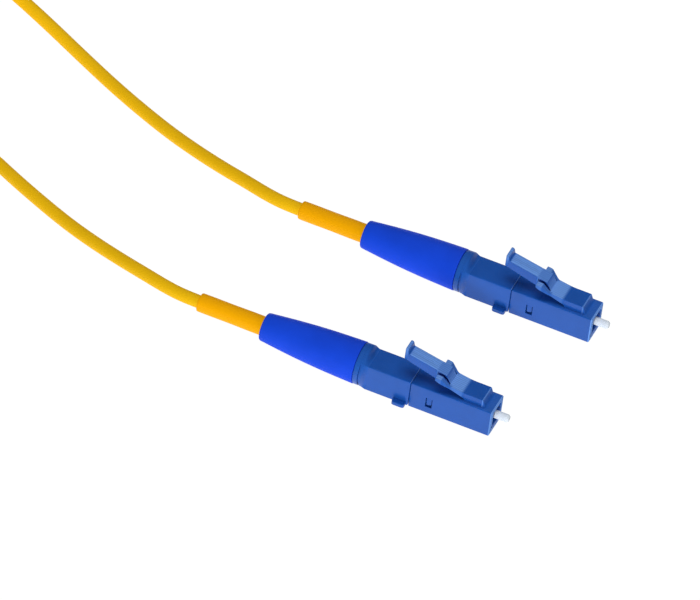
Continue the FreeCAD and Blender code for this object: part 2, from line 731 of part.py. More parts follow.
def cable_line(route):
    """Straight runs joined by the largest tangent arcs that the runs allow."""
    points = [FreeCAD.Vector(*point) for point in route]
    edges = []
    radii = []
    start = points[0]
    for before, corner, after in zip(points, points[1:], points[2:]):
        into = (corner - before).normalize()
        out = (after - corner).normalize()
        turn = into.getAngle(out)
        reach = ARC_SHARE*min((corner - before).Length, (after - corner).Length)
        radius = reach/math.tan(turn/2)
        radii.append(radius)
        arc_start = corner - into*reach
        arc_end = corner + out*reach
        inward = (out - into).normalize()
        middle = corner + inward*(radius/math.cos(turn/2) - radius)
        edges.append(Part.LineSegment(start, arc_start).toShape())
        edges.append(Part.Arc(arc_start, middle, arc_end).toShape())
        start = arc_end
    edges.append(Part.LineSegment(start, points[-1]).toShape())
    return Part.Wire(edges), radii


def make_cable_run(end, route):
    line, radii = cable_line(route)
    radius = value(CABLE_R)
    heading = FreeCAD.Vector(*route[1]) - FreeCAD.Vector(*route[0])
    section = Part.Wire([Part.makeCircle(radius, FreeCAD.Vector(*route[0]), heading)])
    run = doc.addObject("Part::Feature", f"cable_run_{end}")
    run.Shape = line.makePipeShell([section], True, True)
    share = run.Shape.Volume/(math.pi*radius**2*line.Length)
    bends = ", ".join(f"{bend:.0f}" for bend in radii)
    print(f"cable run {end}: {line.Length:.1f} mm, volume share {share:.4f}, bend radii {bends} mm")
    finish_piece(run, f"cable_run_{end}")


def make_coil():
    """Ring that holds the coil's turns, raised by the tie that passes under it."""
    shapes = []
    for name, half in (("coil_outside", "+ Sizes.coil_width/2"), ("coil_inside", "- Sizes.coil_width/2")):
        cylinder = doc.addObject("Part::Cylinder", name)
        cylinder.setExpression("Radius", f"Sizes.coil_mean_radius {half}")
        cylinder.setExpression("Height", "Sizes.coil_height")
        shapes.append(cylinder)
    ring = doc.addObject("Part::Cut", "coil_ring")
    ring.Base, ring.Tool = shapes
    doc.recompute()
    coil = doc.addObject("Part::Fillet", "cable_coil")
    coil.Base = ring
    rounding = value("Sizes.coil_round")
    coil.Edges = [
        (number, rounding, rounding)
        for number, edge in enumerate(ring.Shape.Edges, start=1)
        if edge.Curve.TypeId == "Part::GeomCircle"
    ]
    coil.setExpression(".Placement.Base.x", "Sizes.coil_x")
    coil.setExpression(".Placement.Base.y", "Sizes.coil_y")
    coil.setExpression(".Placement.Base.z", "Sizes.tie_wall")
    finish_piece(coil, "cable_coil")


def make_tie():
    """Strap round one side of the coil; the coil's curve needs a little more room on its inside."""
    inner_r = "(Sizes.coil_mean_radius - Sizes.coil_width/2)"
    outer_r = "(Sizes.coil_mean_radius + Sizes.coil_width/2)"
    bow = f"({inner_r} - sqrt({inner_r}^2 - (Sizes.tie_width/2)^2))"
    room = (f"({outer_r} - {inner_r} + {bow} + 2*Sizes.fit_gap)", "Sizes.coil_height + Sizes.fit_gap")
    strap = doc.addObject("Part::Box", "tie_outside")
    strap.setExpression("Length", f"{room[0]} + 2*Sizes.tie_wall")
    strap.setExpression("Width", "Sizes.tie_width")
    strap.setExpression("Height", f"{room[1]} + 2*Sizes.tie_wall")
    hollow = doc.addObject("Part::Box", "tie_inside")
    hollow.setExpression("Length", room[0])
    hollow.setExpression("Width", "Sizes.tie_width")
    hollow.setExpression("Height", room[1])
    hollow.setExpression(".Placement.Base.x", "Sizes.tie_wall")
    hollow.setExpression(".Placement.Base.z", "Sizes.tie_wall")
    tie = doc.addObject("Part::Cut", "coil_tie")
    tie.Base = strap
    tie.Tool = hollow
    tie.setExpression(".Placement.Base.x", f"Sizes.coil_x - {outer_r} - Sizes.fit_gap - Sizes.tie_wall")
    tie.setExpression(".Placement.Base.y", "Sizes.coil_y - Sizes.tie_width/2")
    finish_piece(tie, "coil_tie")


make_cable_run("a", ROUTE_A)
make_cable_run("b", ROUTE_B)
make_coil()
make_tie()

# Check every object, then write one file for each piece

doc.recompute()
for item in doc.Objects:
    if "Invalid" in item.State or "Error" in item.State:
        raise ValueError(f"{item.Name} failed: {item.State}")
os.makedirs("parts", exist_ok=True)
for piece in pieces:
    if piece.Shape.isNull() or not piece.Shape.isValid():
        raise ValueError(f"{piece.Label} has no valid shape")
    piece.Shape.exportStep(f"parts/{piece.Label}.step")
print(f"{len(pieces)} pieces written")
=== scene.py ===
import json
import math

import bmesh
import bpy
from mathutils import Matrix, Vector


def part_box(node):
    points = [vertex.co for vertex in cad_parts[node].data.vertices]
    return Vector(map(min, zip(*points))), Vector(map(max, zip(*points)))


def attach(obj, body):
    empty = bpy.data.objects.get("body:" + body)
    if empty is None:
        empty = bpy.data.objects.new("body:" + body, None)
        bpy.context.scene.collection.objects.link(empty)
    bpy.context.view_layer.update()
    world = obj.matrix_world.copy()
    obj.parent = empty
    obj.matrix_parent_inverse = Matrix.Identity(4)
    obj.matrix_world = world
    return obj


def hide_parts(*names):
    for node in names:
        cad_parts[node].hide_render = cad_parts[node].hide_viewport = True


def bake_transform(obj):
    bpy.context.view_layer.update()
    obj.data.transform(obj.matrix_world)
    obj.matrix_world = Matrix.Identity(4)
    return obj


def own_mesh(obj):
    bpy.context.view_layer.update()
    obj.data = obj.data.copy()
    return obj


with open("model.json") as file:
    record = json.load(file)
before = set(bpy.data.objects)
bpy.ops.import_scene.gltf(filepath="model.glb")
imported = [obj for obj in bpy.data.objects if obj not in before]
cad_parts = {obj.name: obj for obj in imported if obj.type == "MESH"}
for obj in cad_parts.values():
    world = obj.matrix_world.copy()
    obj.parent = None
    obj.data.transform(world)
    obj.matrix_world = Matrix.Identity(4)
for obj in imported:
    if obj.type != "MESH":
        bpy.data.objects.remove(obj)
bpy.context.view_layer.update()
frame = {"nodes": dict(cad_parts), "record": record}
MM = 0.001

# Places of the two plugs, in millimetres: front face, middle and ferrule axis

ENDS = ("a", "b")


def plug_place(end):
    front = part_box(f"front_housing_{end}")[1].x
    low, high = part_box(f"boot_{end}")
    return Vector((front, (low.y + high.y)/2, (low.z + high.z)/2))/MM


PLUGS = {end: plug_place(end) for end in ENDS}


def span(node, axis):
    """Size of a plug's node along one axis."""
    low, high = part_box(f"{node}_a")
    return (high[axis] - low[axis])/MM


def behind(node):
    """Where a plug's node starts and ends, as distances behind the plug's front face."""
    low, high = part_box(f"{node}_a")
    return PLUGS["a"].x - high.x/MM, PLUGS["a"].x - low.x/MM


# Camera: a long lens at the photograph's angle

CAMERA_TURN = math.radians(17.62)
CAMERA_RISE = math.radians(42.52)
CAMERA_ROLL = math.radians(8.57)
PIXELS_PER_MM = 6.881
PLUG_PIXEL = (496.6, 414.3)
FRAME_PIXELS = (700, 600)
CAMERA_AWAY = 2.5
SENSOR_WIDTH = 36
FARTHEST_SEEN = 100


def make_camera():
    turn, rise, roll = CAMERA_TURN, CAMERA_RISE, CAMERA_ROLL
    back = Vector((math.sin(turn)*math.cos(rise), -math.cos(turn)*math.cos(rise), math.sin(rise)))
    level = Vector((math.cos(turn), math.sin(turn), 0))
    upright = back.cross(level)
    right = level*math.cos(roll) + upright*math.sin(roll)
    up = upright*math.cos(roll) - level*math.sin(roll)
    across = (FRAME_PIXELS[0]/2 - PLUG_PIXEL[0])/PIXELS_PER_MM
    above = (PLUG_PIXEL[1] - FRAME_PIXELS[1]/2)/PIXELS_PER_MM
    target = (PLUGS["a"] + right*across + up*above)*MM
    data = bpy.data.cameras.new("camera")
    data.sensor_fit = "HORIZONTAL"
    data.sensor_width = SENSOR_WIDTH
    data.lens = SENSOR_WIDTH*CAMERA_AWAY/(FRAME_PIXELS[0]/PIXELS_PER_MM*MM)
    data.clip_end = FARTHEST_SEEN
    camera = bpy.data.objects.new("camera", data)
    bpy.context.collection.objects.link(camera)
    turned = Matrix((right, up, back)).transposed().to_4x4()
    camera.matrix_world = Matrix.Translation(target + back*CAMERA_AWAY) @ turned
    bpy.context.scene.camera = camera


# Materials: linear colours, with texture scales per metre and depths in millimetres

EVEN = (1, 1, 1)
ALONG = (0.08, 1, 1)
STRANDS = (0.04, 1, 1)
NOISE_RANGE = (0.3, 0.7)
WHOLE_RANGE = (0.0, 1.0)
FINE_DETAIL = 2.0


def new_material(name):
    material = bpy.data.materials.new(name)
    material.use_nodes = True
    tree = material.node_tree
    return material, tree, tree.nodes["Principled BSDF"]


def noise(tree, scale, detail=3.0, stretch=EVEN):
    """Noise in the object's own space; stretch below 1 draws it out along that axis."""
    place = tree.nodes.new("ShaderNodeTexCoord")
    mapping = tree.nodes.new("ShaderNodeMapping")
    mapping.inputs["Scale"].default_value = stretch
    texture = tree.nodes.new("ShaderNodeTexNoise")
    texture.inputs["Scale"].default_value = scale
    texture.inputs["Detail"].default_value = detail
    tree.links.new(place.outputs["Object"], mapping.inputs["Vector"])
    tree.links.new(mapping.outputs["Vector"], texture.inputs["Vector"])
    return texture.outputs["Fac"]


def ramp(tree, factor, first, last, over=NOISE_RANGE):
    """A colour that runs from first to last as the factor crosses a range."""
    node = tree.nodes.new("ShaderNodeValToRGB")
    for element, place, colour in zip(node.color_ramp.elements, over, (first, last)):
        element.position = place
        element.color = (*colour, 1)
    tree.links.new(factor, node.inputs["Fac"])
    return node.outputs["Color"]


def spread(tree, factor, low, high, over=NOISE_RANGE):
    """A number that runs from low to high as the factor crosses a range."""
    node = tree.nodes.new("ShaderNodeMapRange")
    node.inputs["From Min"].default_value = over[0]
    node.inputs["From Max"].default_value = over[1]
    node.inputs["To Min"].default_value = low
    node.inputs["To Max"].default_value = high
    tree.links.new(factor, node.inputs["Value"])
    return node.outputs["Result"]


def bump(tree, shader, height, depth):
    node = tree.nodes.new("ShaderNodeBump")
    node.inputs["Strength"].default_value = 1.0
    node.inputs["Distance"].default_value = depth*MM
    tree.links.new(height, node.inputs["Height"])
    tree.links.new(node.outputs["Normal"], shader.inputs["Normal"])


def shades(colour, amount):
    """A darker and a lighter shade of one colour."""
    return [tuple(part*(1 - amount) for part in colour), tuple(part*(1 + amount) for part in colour)]


def mottled(name, colour, amount, patches, rough, grain, depth, stretch=EVEN, metal=0.0, shine=0.5):
    """A finish with faint patches in colour and gloss, and a fine grain."""
    material, tree, shader = new_material(name)
    patch = noise(tree, patches, stretch=stretch)
    tree.links.new(ramp(tree, patch, *shades(colour, amount)), shader.inputs["Base Color"])
    fine = noise(tree, grain, detail=FINE_DETAIL, stretch=stretch)
    tree.links.new(spread(tree, fine, *rough), shader.inputs["Roughness"])
    bump(tree, shader, fine, depth)
    shader.inputs["Metallic"].default_value = metal
    shader.inputs["Specular IOR Level"].default_value = shine
    return material


HOUSING_BLUE = (0.0110, 0.092, 0.43)
PALE_GRAIN_AND_HIGHLIGHT_BLUE = (0.140, 0.310, 0.76)
HOUSING_PATCHES = 420
PATCH_SHADES = 0.05
LINE_SHADES = 0.16
HOUSING_GRAIN = 9000
GRAIN_DEPTH = 0.002
GLOSSY_ROUGH = 0.27
MATT_ROUGH = 0.6
GLOSSY_SHINE = 0.42
MATT_SHINE = 0.08
GRAIN_TRACE = 0.05
LINE_PITCH = 0.36
LINE_WOBBLE = 2.5
LINE_DETAIL = 2.0
LINE_DETAIL_SCALE = 1.5
WAVE_PERIOD = math.pi/10
# a mix node's sockets for colours, which share their names with its other sockets
MIX_FACTOR, MIX_FIRST, MIX_SECOND, MIX_RESULT = 0, 6, 7, 2


def housing_finish():
    """Glossy plastic: a trace of the grain attribute takes its shine, and more turns it paler and matt, both
    for the grain and where the attribute paints highlights and light.
    """
    material, tree, shader = new_material("housing_plastic")
    glossy = ramp(tree, noise(tree, HOUSING_PATCHES), *shades(HOUSING_BLUE, PATCH_SHADES))
    matt = ramp(tree, fine_lines(tree), *shades(PALE_GRAIN_AND_HIGHLIGHT_BLUE, LINE_SHADES), over=WHOLE_RANGE)
    # the grain attribute marks the matt grain and also the painted highlights and painted light on edges and
    # faces
    attribute = tree.nodes.new("ShaderNodeAttribute")
    attribute.attribute_name = "grain"
    grain = attribute.outputs["Fac"]
    colour = tree.nodes.new("ShaderNodeMix")
    colour.data_type = "RGBA"
    tree.links.new(grain, colour.inputs[MIX_FACTOR])
    tree.links.new(glossy, colour.inputs[MIX_FIRST])
    tree.links.new(matt, colour.inputs[MIX_SECOND])
    tree.links.new(colour.outputs[MIX_RESULT], shader.inputs["Base Color"])
    rough = spread(tree, grain, GLOSSY_ROUGH, MATT_ROUGH, over=WHOLE_RANGE)
    tree.links.new(rough, shader.inputs["Roughness"])
    shine = spread(tree, grain, GLOSSY_SHINE, MATT_SHINE, over=(0, GRAIN_TRACE))
    tree.links.new(shine, shader.inputs["Specular IOR Level"])
    bump(tree, shader, noise(tree, HOUSING_GRAIN, detail=FINE_DETAIL), GRAIN_DEPTH)
    return material


def fine_lines(tree):
    """Fine uneven lines that run along the plug, a fraction of a millimetre apart."""
    place = tree.nodes.new("ShaderNodeTexCoord")
    lines = tree.nodes.new("ShaderNodeTexWave")
    lines.bands_direction = "Y"
    lines.inputs["Scale"].default_value = WAVE_PERIOD/(LINE_PITCH*MM)
    lines.inputs["Distortion"].default_value = LINE_WOBBLE
    lines.inputs["Detail"].default_value = LINE_DETAIL
    lines.inputs["Detail Scale"].default_value = LINE_DETAIL_SCALE
    tree.links.new(place.outputs["Object"], lines.inputs["Vector"])
    return lines.outputs["Fac"]


YARN_FIBRES = 6000
YARN_DARK = (0.52, 0.34, 0.06)
YARN_LIGHT = (0.86, 0.68, 0.24)
STRAP_FIBRES = 5200
STRAP_DETAIL = 6.0
STRAP_DARK = (0.006, 0.006, 0.007)
STRAP_LIGHT = (0.032, 0.032, 0.036)


def fibrous(name, factor, dark, light, rough, sheen, depth):
    """A soft finish from one pattern of fibres; factor makes the pattern in the material's tree."""
    material, tree, shader = new_material(name)
    fibres = factor(tree)
    tree.links.new(ramp(tree, fibres, dark, light), shader.inputs["Base Color"])
    shader.inputs["Roughness"].default_value = rough
    shader.inputs["Sheen Weight"].default_value = sheen
    bump(tree, shader, fibres, depth)
    return material


def yarn_strands(tree):
    """Loose fibres that run along the plug."""
    return noise(tree, YARN_FIBRES, stretch=STRANDS)


def strap_pile(tree):
    """The fuzzy pile of hook and loop tape."""
    return noise(tree, STRAP_FIBRES, detail=STRAP_DETAIL)


def soft_plastic(material, weight, reach):
    """Let light spread a little under the surface."""
    shader = material.node_tree.nodes["Principled BSDF"]
    shader.inputs["Subsurface Weight"].default_value = weight
    shader.inputs["Subsurface Radius"].default_value = (reach*MM, reach*MM, reach*MM)
    shader.inputs["Subsurface Scale"].default_value = 1.0
    return material


BOOT_BLUE = (0.0100, 0.068, 0.72)
CERAMIC = (0.72, 0.785, 0.87)
NICKEL = (0.60, 0.58, 0.53)
STEEL = (0.50, 0.50, 0.52)
ALUMINIUM = (0.66, 0.66, 0.68)
GUIDE_WHITE = (0.74, 0.74, 0.71)
BUFFER_WHITE = (0.80, 0.80, 0.77)
JACKET_YELLOW = (0.875, 0.505, 0.0055)
SLEEVE_ORANGE = (0.93, 0.42, 0.0016)


def make_finishes():
    """A finish for each material slot of the record."""
    ceramic = mottled(
        "ceramic", CERAMIC, amount=0.02, patches=600, rough=(0.34, 0.42), grain=12000,
        depth=0.0002, shine=0.06,
    )
    return {
        "housing_blue": housing_finish(),
        "boot_blue": mottled(
            "boot_rubber", BOOT_BLUE, amount=0.05, patches=260, rough=(0.48, 0.56), grain=7000,
            depth=0.002, shine=0.12,
        ),
        "ferrule_white": soft_plastic(ceramic, weight=0.25, reach=0.5),
        "nickel_metal": mottled(
            "nickel", NICKEL, amount=0.08, patches=900, rough=(0.18, 0.34), grain=9000, depth=0.001,
            stretch=ALONG, metal=1.0,
        ),
        "spring_steel": mottled(
            "spring_wire", STEEL, amount=0.10, patches=2400, rough=(0.22, 0.38), grain=12000, depth=0.001,
            metal=1.0,
        ),
        "guide_white": mottled(
            "guide_plastic", GUIDE_WHITE, amount=0.04, patches=700, rough=(0.35, 0.45),
            grain=9000, depth=0.002,
        ),
        "yarn_yellow": fibrous(
            "aramid", yarn_strands, YARN_DARK, YARN_LIGHT, rough=0.7, sheen=0.3, depth=0.05,
        ),
        "crimp_metal": mottled(
            "crimp_aluminium", ALUMINIUM, amount=0.10, patches=1100, rough=(0.25, 0.45), grain=7000,
            depth=0.004, metal=1.0,
        ),
        "jacket_yellow": mottled(
            "cable_jacket", JACKET_YELLOW, amount=0.02, patches=330, rough=(0.42, 0.50), grain=1800,
            depth=0.0003, shine=0.1,
        ),
        "sleeve_yellow": mottled(
            "strain_tube", SLEEVE_ORANGE, amount=0.03, patches=520, rough=(0.40, 0.50), grain=5200,
            depth=0.0005, stretch=ALONG, shine=0.1,
        ),
        "buffer_white": mottled(
            "buffer", BUFFER_WHITE, amount=0.03, patches=900, rough=(0.20, 0.30), grain=9000, depth=0.001,
        ),
        "tie_black": fibrous(
            "strap", strap_pile, STRAP_DARK, STRAP_LIGHT, rough=0.85, sheen=0.35, depth=0.12,
        ),
    }


# Mesh tools: rings of points in a plug's own frame, in millimetres behind its front face

SIDE_STEPS = 8
ARC_STEPS = 4
TURN_STEPS = 64
EDGE_SHARE = 0.48
SHARP_ANGLE = 38
NEAR = 0.01


def fade(value, low, high):
    """A smooth rise from 0 at low to 1 at high."""
    share = min(1, max(0, (value - low)/(high - low)))
    return share*share*(3 - 2*share)


def square_ring(back, half, low, high, top_edge, low_edge, marks):
    """Rounded square section; marks set the heights of two points on each side face."""
    side = []
    for step in range(SIDE_STEPS + 1):
        height = low + low_edge + (high - top_edge - low - low_edge)*step/SIDE_STEPS
        side.append(marks.get(step, height))
    shares = [step/SIDE_STEPS for step in range(SIDE_STEPS)]
    points = [(half, height) for height in side[:-1]]
    points += corner(half - top_edge, high - top_edge, top_edge, 0)
    points += [((half - top_edge)*(1 - 2*share), high) for share in shares]
    points += corner(top_edge - half, high - top_edge, top_edge, 90)
    points += [(-half, height) for height in side[:0:-1]]
    points += corner(low_edge - half, low + low_edge, low_edge, 180)
    points += [((half - low_edge)*(2*share - 1), low) for share in shares]
    points += corner(half - low_edge, low + low_edge, low_edge, 270)
    return [Vector((-back, across, height)) for across, height in points]


def corner(across, height, radius, start):
    """Quarter arc about a middle, without its last point."""
    points = []
    for step in range(ARC_STEPS):
        angle = math.radians(start + 90*step/ARC_STEPS)
        points.append((across + radius*math.cos(angle), height + radius*math.sin(angle)))
    return points


def round_like(ring, back, radius):
    """Circle about the plug's axis with its points in the directions of another ring's points."""
    points = []
    for point in ring:
        out = Vector((0, point.y, point.z)).normalized()*radius
        points.append(Vector((-back, out.y, out.z)))
    return points


def circle_ring(back, radius):
    points = []
    for step in range(TURN_STEPS):
        angle = 2*math.pi*step/TURN_STEPS
        points.append(Vector((-back, radius*math.cos(angle), radius*math.sin(angle))))
    return points


def softened(points, closed=False):
    """A line whose corners with a third number are rounded by a curve of about that radius."""
    line = []
    count = len(points)
    for index, point in enumerate(points):
        here = Vector(point[:2])
        if len(point) == 2 or (not closed and index in (0, count - 1)):
            line.append(here)
            continue
        before = Vector(points[index - 1][:2]) - here
        after = Vector(points[(index + 1) % count][:2]) - here
        reach = min(point[2], before.length*EDGE_SHARE, after.length*EDGE_SHARE)
        start = here + before.normalized()*reach
        stop = here + after.normalized()*reach
        for step in range(ARC_STEPS + 1):
            share = step/ARC_STEPS
            line.append(start*(1 - share)**2 + here*(2*share*(1 - share)) + stop*share**2)
    return line


def add_rings(mesh, rings, loop=False, skip=()):
    """Join rings of equal count into a skin; a loop closes on itself, other ends are capped."""
    rows = [[mesh.verts.new(point) for point in ring] for ring in rings]
    count = len(rows[0])
    pairs = list(zip(range(len(rows)), range(1, len(rows))))
    if loop:
        pairs.append((len(rows) - 1, 0))
    for first, second in pairs:
        for step in range(count):
            if (first, step) in skip:
                continue
            after = (step + 1) % count
            mesh.faces.new((rows[first][step], rows[second][step], rows[second][after], rows[first][after]))
    if not loop:
        mesh.faces.new(rows[0])
        mesh.faces.new(rows[-1][::-1])
    return rows


def finish_mesh(mesh, name, place, finish, body, node, sharp=SHARP_ANGLE, grain=None):
    """Turn a mesh in a plug's frame into a piece that rides on a body and stands for a node."""
    bmesh.ops.recalc_face_normals(mesh, faces=mesh.faces[:])
    data = bpy.data.meshes.new(name)
    mesh.to_mesh(data)
    mesh.free()
    # the grain values hold the matt grain and painted highlights
    if grain is not None:
        layer = data.attributes.new("grain", "FLOAT", "POINT")
        layer.data.foreach_set("value", [grain(vertex.co) for vertex in data.vertices])
    data.transform(Matrix.Scale(MM, 4) @ Matrix.Translation(place))
    data.shade_smooth()
    data.set_sharp_from_angle(angle=math.radians(sharp))
    data.materials.append(finishes[finish])
    piece = bpy.data.objects.new(name, data)
    bpy.context.collection.objects.link(piece)
    if body is not None:
        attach(piece, body)
    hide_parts(node)
    return piece


def turned_piece(label, end, profile, finish, body="cable"):
    """A closed profile of places and radii turned about a plug's axis."""
    mesh = bmesh.new()
    add_rings(mesh, [circle_ring(*point) for point in softened(profile, closed=True)], loop=True)
    finish_mesh(mesh, f"{label}_skin_{end}", PLUGS[end], finish, body, f"{label}_{end}")


# Front housing: square shell with the ferrule's opening, spring chamber and snap windows

HALF = span("front_housing", 1)/2
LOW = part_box("front_housing_a")[0].z/MM - PLUGS["a"].z
HIGH = LOW + 2*HALF
TOP_EDGE = 0.15
LOW_EDGE = 0.06
INNER_EDGE = 0.1
FRONT_BACK = behind("front_housing")[1]
FRONT_BEVEL = 0.09
FRONT_BEVEL_BOW = 0.03
OPENING = 1.4
OPENING_BACK = 1.5
OPENING_BEVEL = 0.08
OPENING_BEVEL_BOW = 0.025
STOP_BACK = 2.3
STOP_BORE = 1.2
CHAMBER = 1.6
SOCKET = 1.75
SOCKET_FRONT = 8.55
SOCKET_BEVEL = 0.05
WINDOW = (9.25, 10.3)
WINDOW_HEIGHTS = (-1.45, 0.25)
WINDOW_STEPS = (2, 6)
MARKS = dict(zip(WINDOW_STEPS, WINDOW_HEIGHTS))
RIM = 0.18
RIM_BOW = 0.3*RIM
RIM_FADE = 0.03
# the front face, its bevelled edge and a strip of the top behind them are painted paler, as a highlight where
# light falls on them
RIM_INNER = OPENING + 0.05
RIM_TOP_HIGHLIGHT = 0.12


def outer_ring(back, inset=0.0):
    return square_ring(back, HALF - inset, LOW + inset, HIGH - inset, TOP_EDGE, LOW_EDGE, MARKS)


def inner_square(back, half):
    return square_ring(back, half, -half, half, INNER_EDGE, INNER_EDGE, MARKS)


def make_front_housing(end):
    mesh = bmesh.new()
    skin = [
        outer_ring(RIM),
        outer_ring(RIM + RIM_FADE),
        outer_ring(WINDOW[0]),
        outer_ring(WINDOW[1]),
        outer_ring(FRONT_BACK - FRONT_BEVEL),
        outer_ring(FRONT_BACK - FRONT_BEVEL_BOW, FRONT_BEVEL_BOW),
        outer_ring(FRONT_BACK, FRONT_BEVEL),
    ]
    socket = [
        inner_square(FRONT_BACK, SOCKET + SOCKET_BEVEL),
        inner_square(FRONT_BACK - SOCKET_BEVEL, SOCKET),
        inner_square(WINDOW[1], SOCKET),
        inner_square(WINDOW[0], SOCKET),
        inner_square(SOCKET_FRONT, SOCKET),
    ]
    shape = socket[-1]
    chamber = [
        round_like(shape, SOCKET_FRONT, CHAMBER),
        round_like(shape, STOP_BACK, CHAMBER),
        round_like(shape, STOP_BACK, STOP_BORE),
        round_like(shape, OPENING_BACK, STOP_BORE),
    ]
    mouth = [
        inner_square(OPENING_BACK, OPENING),
        inner_square(OPENING_BEVEL, OPENING),
        inner_square(OPENING_BEVEL_BOW, OPENING + OPENING_BEVEL_BOW),
        inner_square(0, OPENING + OPENING_BEVEL),
        outer_ring(0, RIM),
        outer_ring(RIM_BOW, RIM_BOW),
    ]
    # the windows are left out of the skin and the socket, between the rings at the windows' ends
    outside = 2
    inside = len(skin) + 2
    right = range(*WINDOW_STEPS)
    turn = 2*(SIDE_STEPS + ARC_STEPS) + SIDE_STEPS
    left = range(turn - WINDOW_STEPS[1], turn - WINDOW_STEPS[0])
    skip = {(row, step) for row in (outside, inside) for step in (*right, *left)}
    rows = add_rings(mesh, skin + socket + chamber + mouth, loop=True, skip=skip)
    front_rows = (rows[outside], rows[inside + 1])
    back_rows = (rows[outside + 1], rows[inside])
    for side in (right, left):
        for step in side:
            for outer, inner in (front_rows, back_rows):
                mesh.faces.new((outer[step], outer[step + 1], inner[step + 1], inner[step]))
        for step in (side[0], side[-1] + 1):
            mesh.faces.new((front_rows[0][step], back_rows[0][step], back_rows[1][step], front_rows[1][step]))
    finish_mesh(
        mesh, f"front_housing_skin_{end}", PLUGS[end], "housing_blue", "cable", f"front_housing_{end}",
        grain=painted_rim_highlight,
    )


def painted_rim_highlight(point):
    """Painted highlight: one on the front face and its bevelled edge, a little on the top behind them, nought
    elsewhere.
    """
    back = -point.x
    outside = max(abs(point.y), abs(point.z - (LOW + HIGH)/2)) > RIM_INNER
    if not outside or back > RIM + RIM_FADE + NEAR:
        return 0.0
    if back < RIM + NEAR:
        return 1.0
    return RIM_TOP_HIGHLIGHT if point.z > HIGH - NEAR else 0.0


# Rear housing: square body that swells into a round collar, with side lugs, nose and snap teeth

SEAM = 0.1
REAR_FRONT = FRONT_BACK + SEAM
REAR_BEVEL = 0.1
REAR_BEVEL_BOW = 0.035
NOSE_FRONT, REAR_BACK = behind("rear_housing")
NOSE = 1.7
NOSE_BEVEL = 0.1
TUBE_BORE = 1.05
POST_BORE = 1.3
POST_FRONT = 18.65
BLEND_FRONT = 19.7
BLEND_BACK = 20.6
BLEND_STEPS = 10
COLLAR = 3.2
COLLAR_ROUND = 0.14
GROOVE = 0.32
GROOVE_FRONT = BLEND_BACK + 0.03
GROOVE_BACK = BLEND_BACK + 0.29
GROOVE_SLOPE = 0.02
GROOVE_FRONT_ROUND = 0.03
GROOVE_BACK_ROUND = 0.05
GROOVE_END = (1.3, 2.2)
RING = COLLAR - 0.01
MATT_RUN = 0.1
MATT_TOP = (0.8, 1.6)
MATT_BOTTOM = (1.6, 2.2)
# a painted highlight along the bevel at the rear housing's top front edge, beside the seam
SEAM_HIGHLIGHT_BACK = REAR_FRONT + 0.05
SEAM_HIGHLIGHT_LOW = HIGH - 0.12
SEAM_EDGE_HIGHLIGHT = 0.9


def make_rear_housing(end):
    mesh = bmesh.new()
    skin = [
        outer_ring(REAR_FRONT, REAR_BEVEL),
        outer_ring(REAR_FRONT + REAR_BEVEL_BOW, REAR_BEVEL_BOW),
        outer_ring(REAR_FRONT + REAR_BEVEL),
        outer_ring(BLEND_FRONT - MATT_RUN),
    ]
    for step in range(BLEND_STEPS + 1):
        share = step/BLEND_STEPS
        back = BLEND_FRONT + (BLEND_BACK - BLEND_FRONT)*share
        square = outer_ring(back)
        circle = round_like(square, back, COLLAR)
        swell = fade(share, 0, 1)
        skin.append([one.lerp(other, swell) for one, other in zip(square, circle)])
    shape = skin[0]
    groove_line = softened([
        (BLEND_BACK, COLLAR),
        (GROOVE_FRONT, COLLAR, GROOVE_FRONT_ROUND),
        (GROOVE_FRONT + GROOVE_SLOPE, COLLAR - GROOVE),
        (GROOVE_BACK - GROOVE_SLOPE, COLLAR - GROOVE),
        (GROOVE_BACK, RING, GROOVE_BACK_ROUND),
        (REAR_BACK, RING, COLLAR_ROUND),
        (REAR_BACK, POST_BORE),
        (POST_FRONT, POST_BORE),
        (POST_FRONT, TUBE_BORE),
        (NOSE_FRONT, TUBE_BORE),
    ])
    for back, radius in groove_line[1:]:
        ring = round_like(shape, back, radius)
        if GROOVE_FRONT < back < GROOVE_BACK and radius < COLLAR - GROOVE/2:
            ring = [groove_point(point) for point in ring]
        skin.append(ring)
    skin.append(inner_square(NOSE_FRONT, NOSE - NOSE_BEVEL))
    skin.append(inner_square(NOSE_FRONT + NOSE_BEVEL, NOSE))
    skin.append(inner_square(REAR_FRONT, NOSE))
    add_rings(mesh, skin, loop=True)
    for side in (-1, 1):
        add_lug(mesh, side)
        add_tooth(mesh, side)
    finish_mesh(
        mesh, f"rear_housing_skin_{end}", PLUGS[end], "housing_blue", "cable", f"rear_housing_{end}",
        grain=rear_grain_and_highlight,
    )


def groove_point(point):
    """Bottom of the collar's groove, which runs out towards the top."""
    shallow = COLLAR - GROOVE*(1 - fade(point.z, *GROOVE_END))
    out = Vector((0, point.y, point.z)).normalized()*shallow
    return Vector((point.x, out.y, out.z))


def rear_grain_and_highlight(point):
    """Nearly one on the bevel at the top front, a painted highlight, and a trace of grain on the collar's top
    and bottom.
    """
    if -point.x < SEAM_HIGHLIGHT_BACK and point.z > SEAM_HIGHLIGHT_LOW:
        return SEAM_EDGE_HIGHLIGHT
    collar = fade(-point.x, BLEND_FRONT - MATT_RUN, BLEND_FRONT)
    return GRAIN_TRACE*collar*max(fade(point.z, *MATT_TOP), fade(-point.z, *MATT_BOTTOM))


LUG = (13.2, 15.2)
LUG_IN = HALF - 0.2
LUG_OUT = HALF + 1.0
LUG_ROUND = 0.4
LUG_TOP = -1.9
LUG_EDGE = 0.08
LUG_LOW = LOW + 0.02
LUG_LOW_EDGE = 0.06


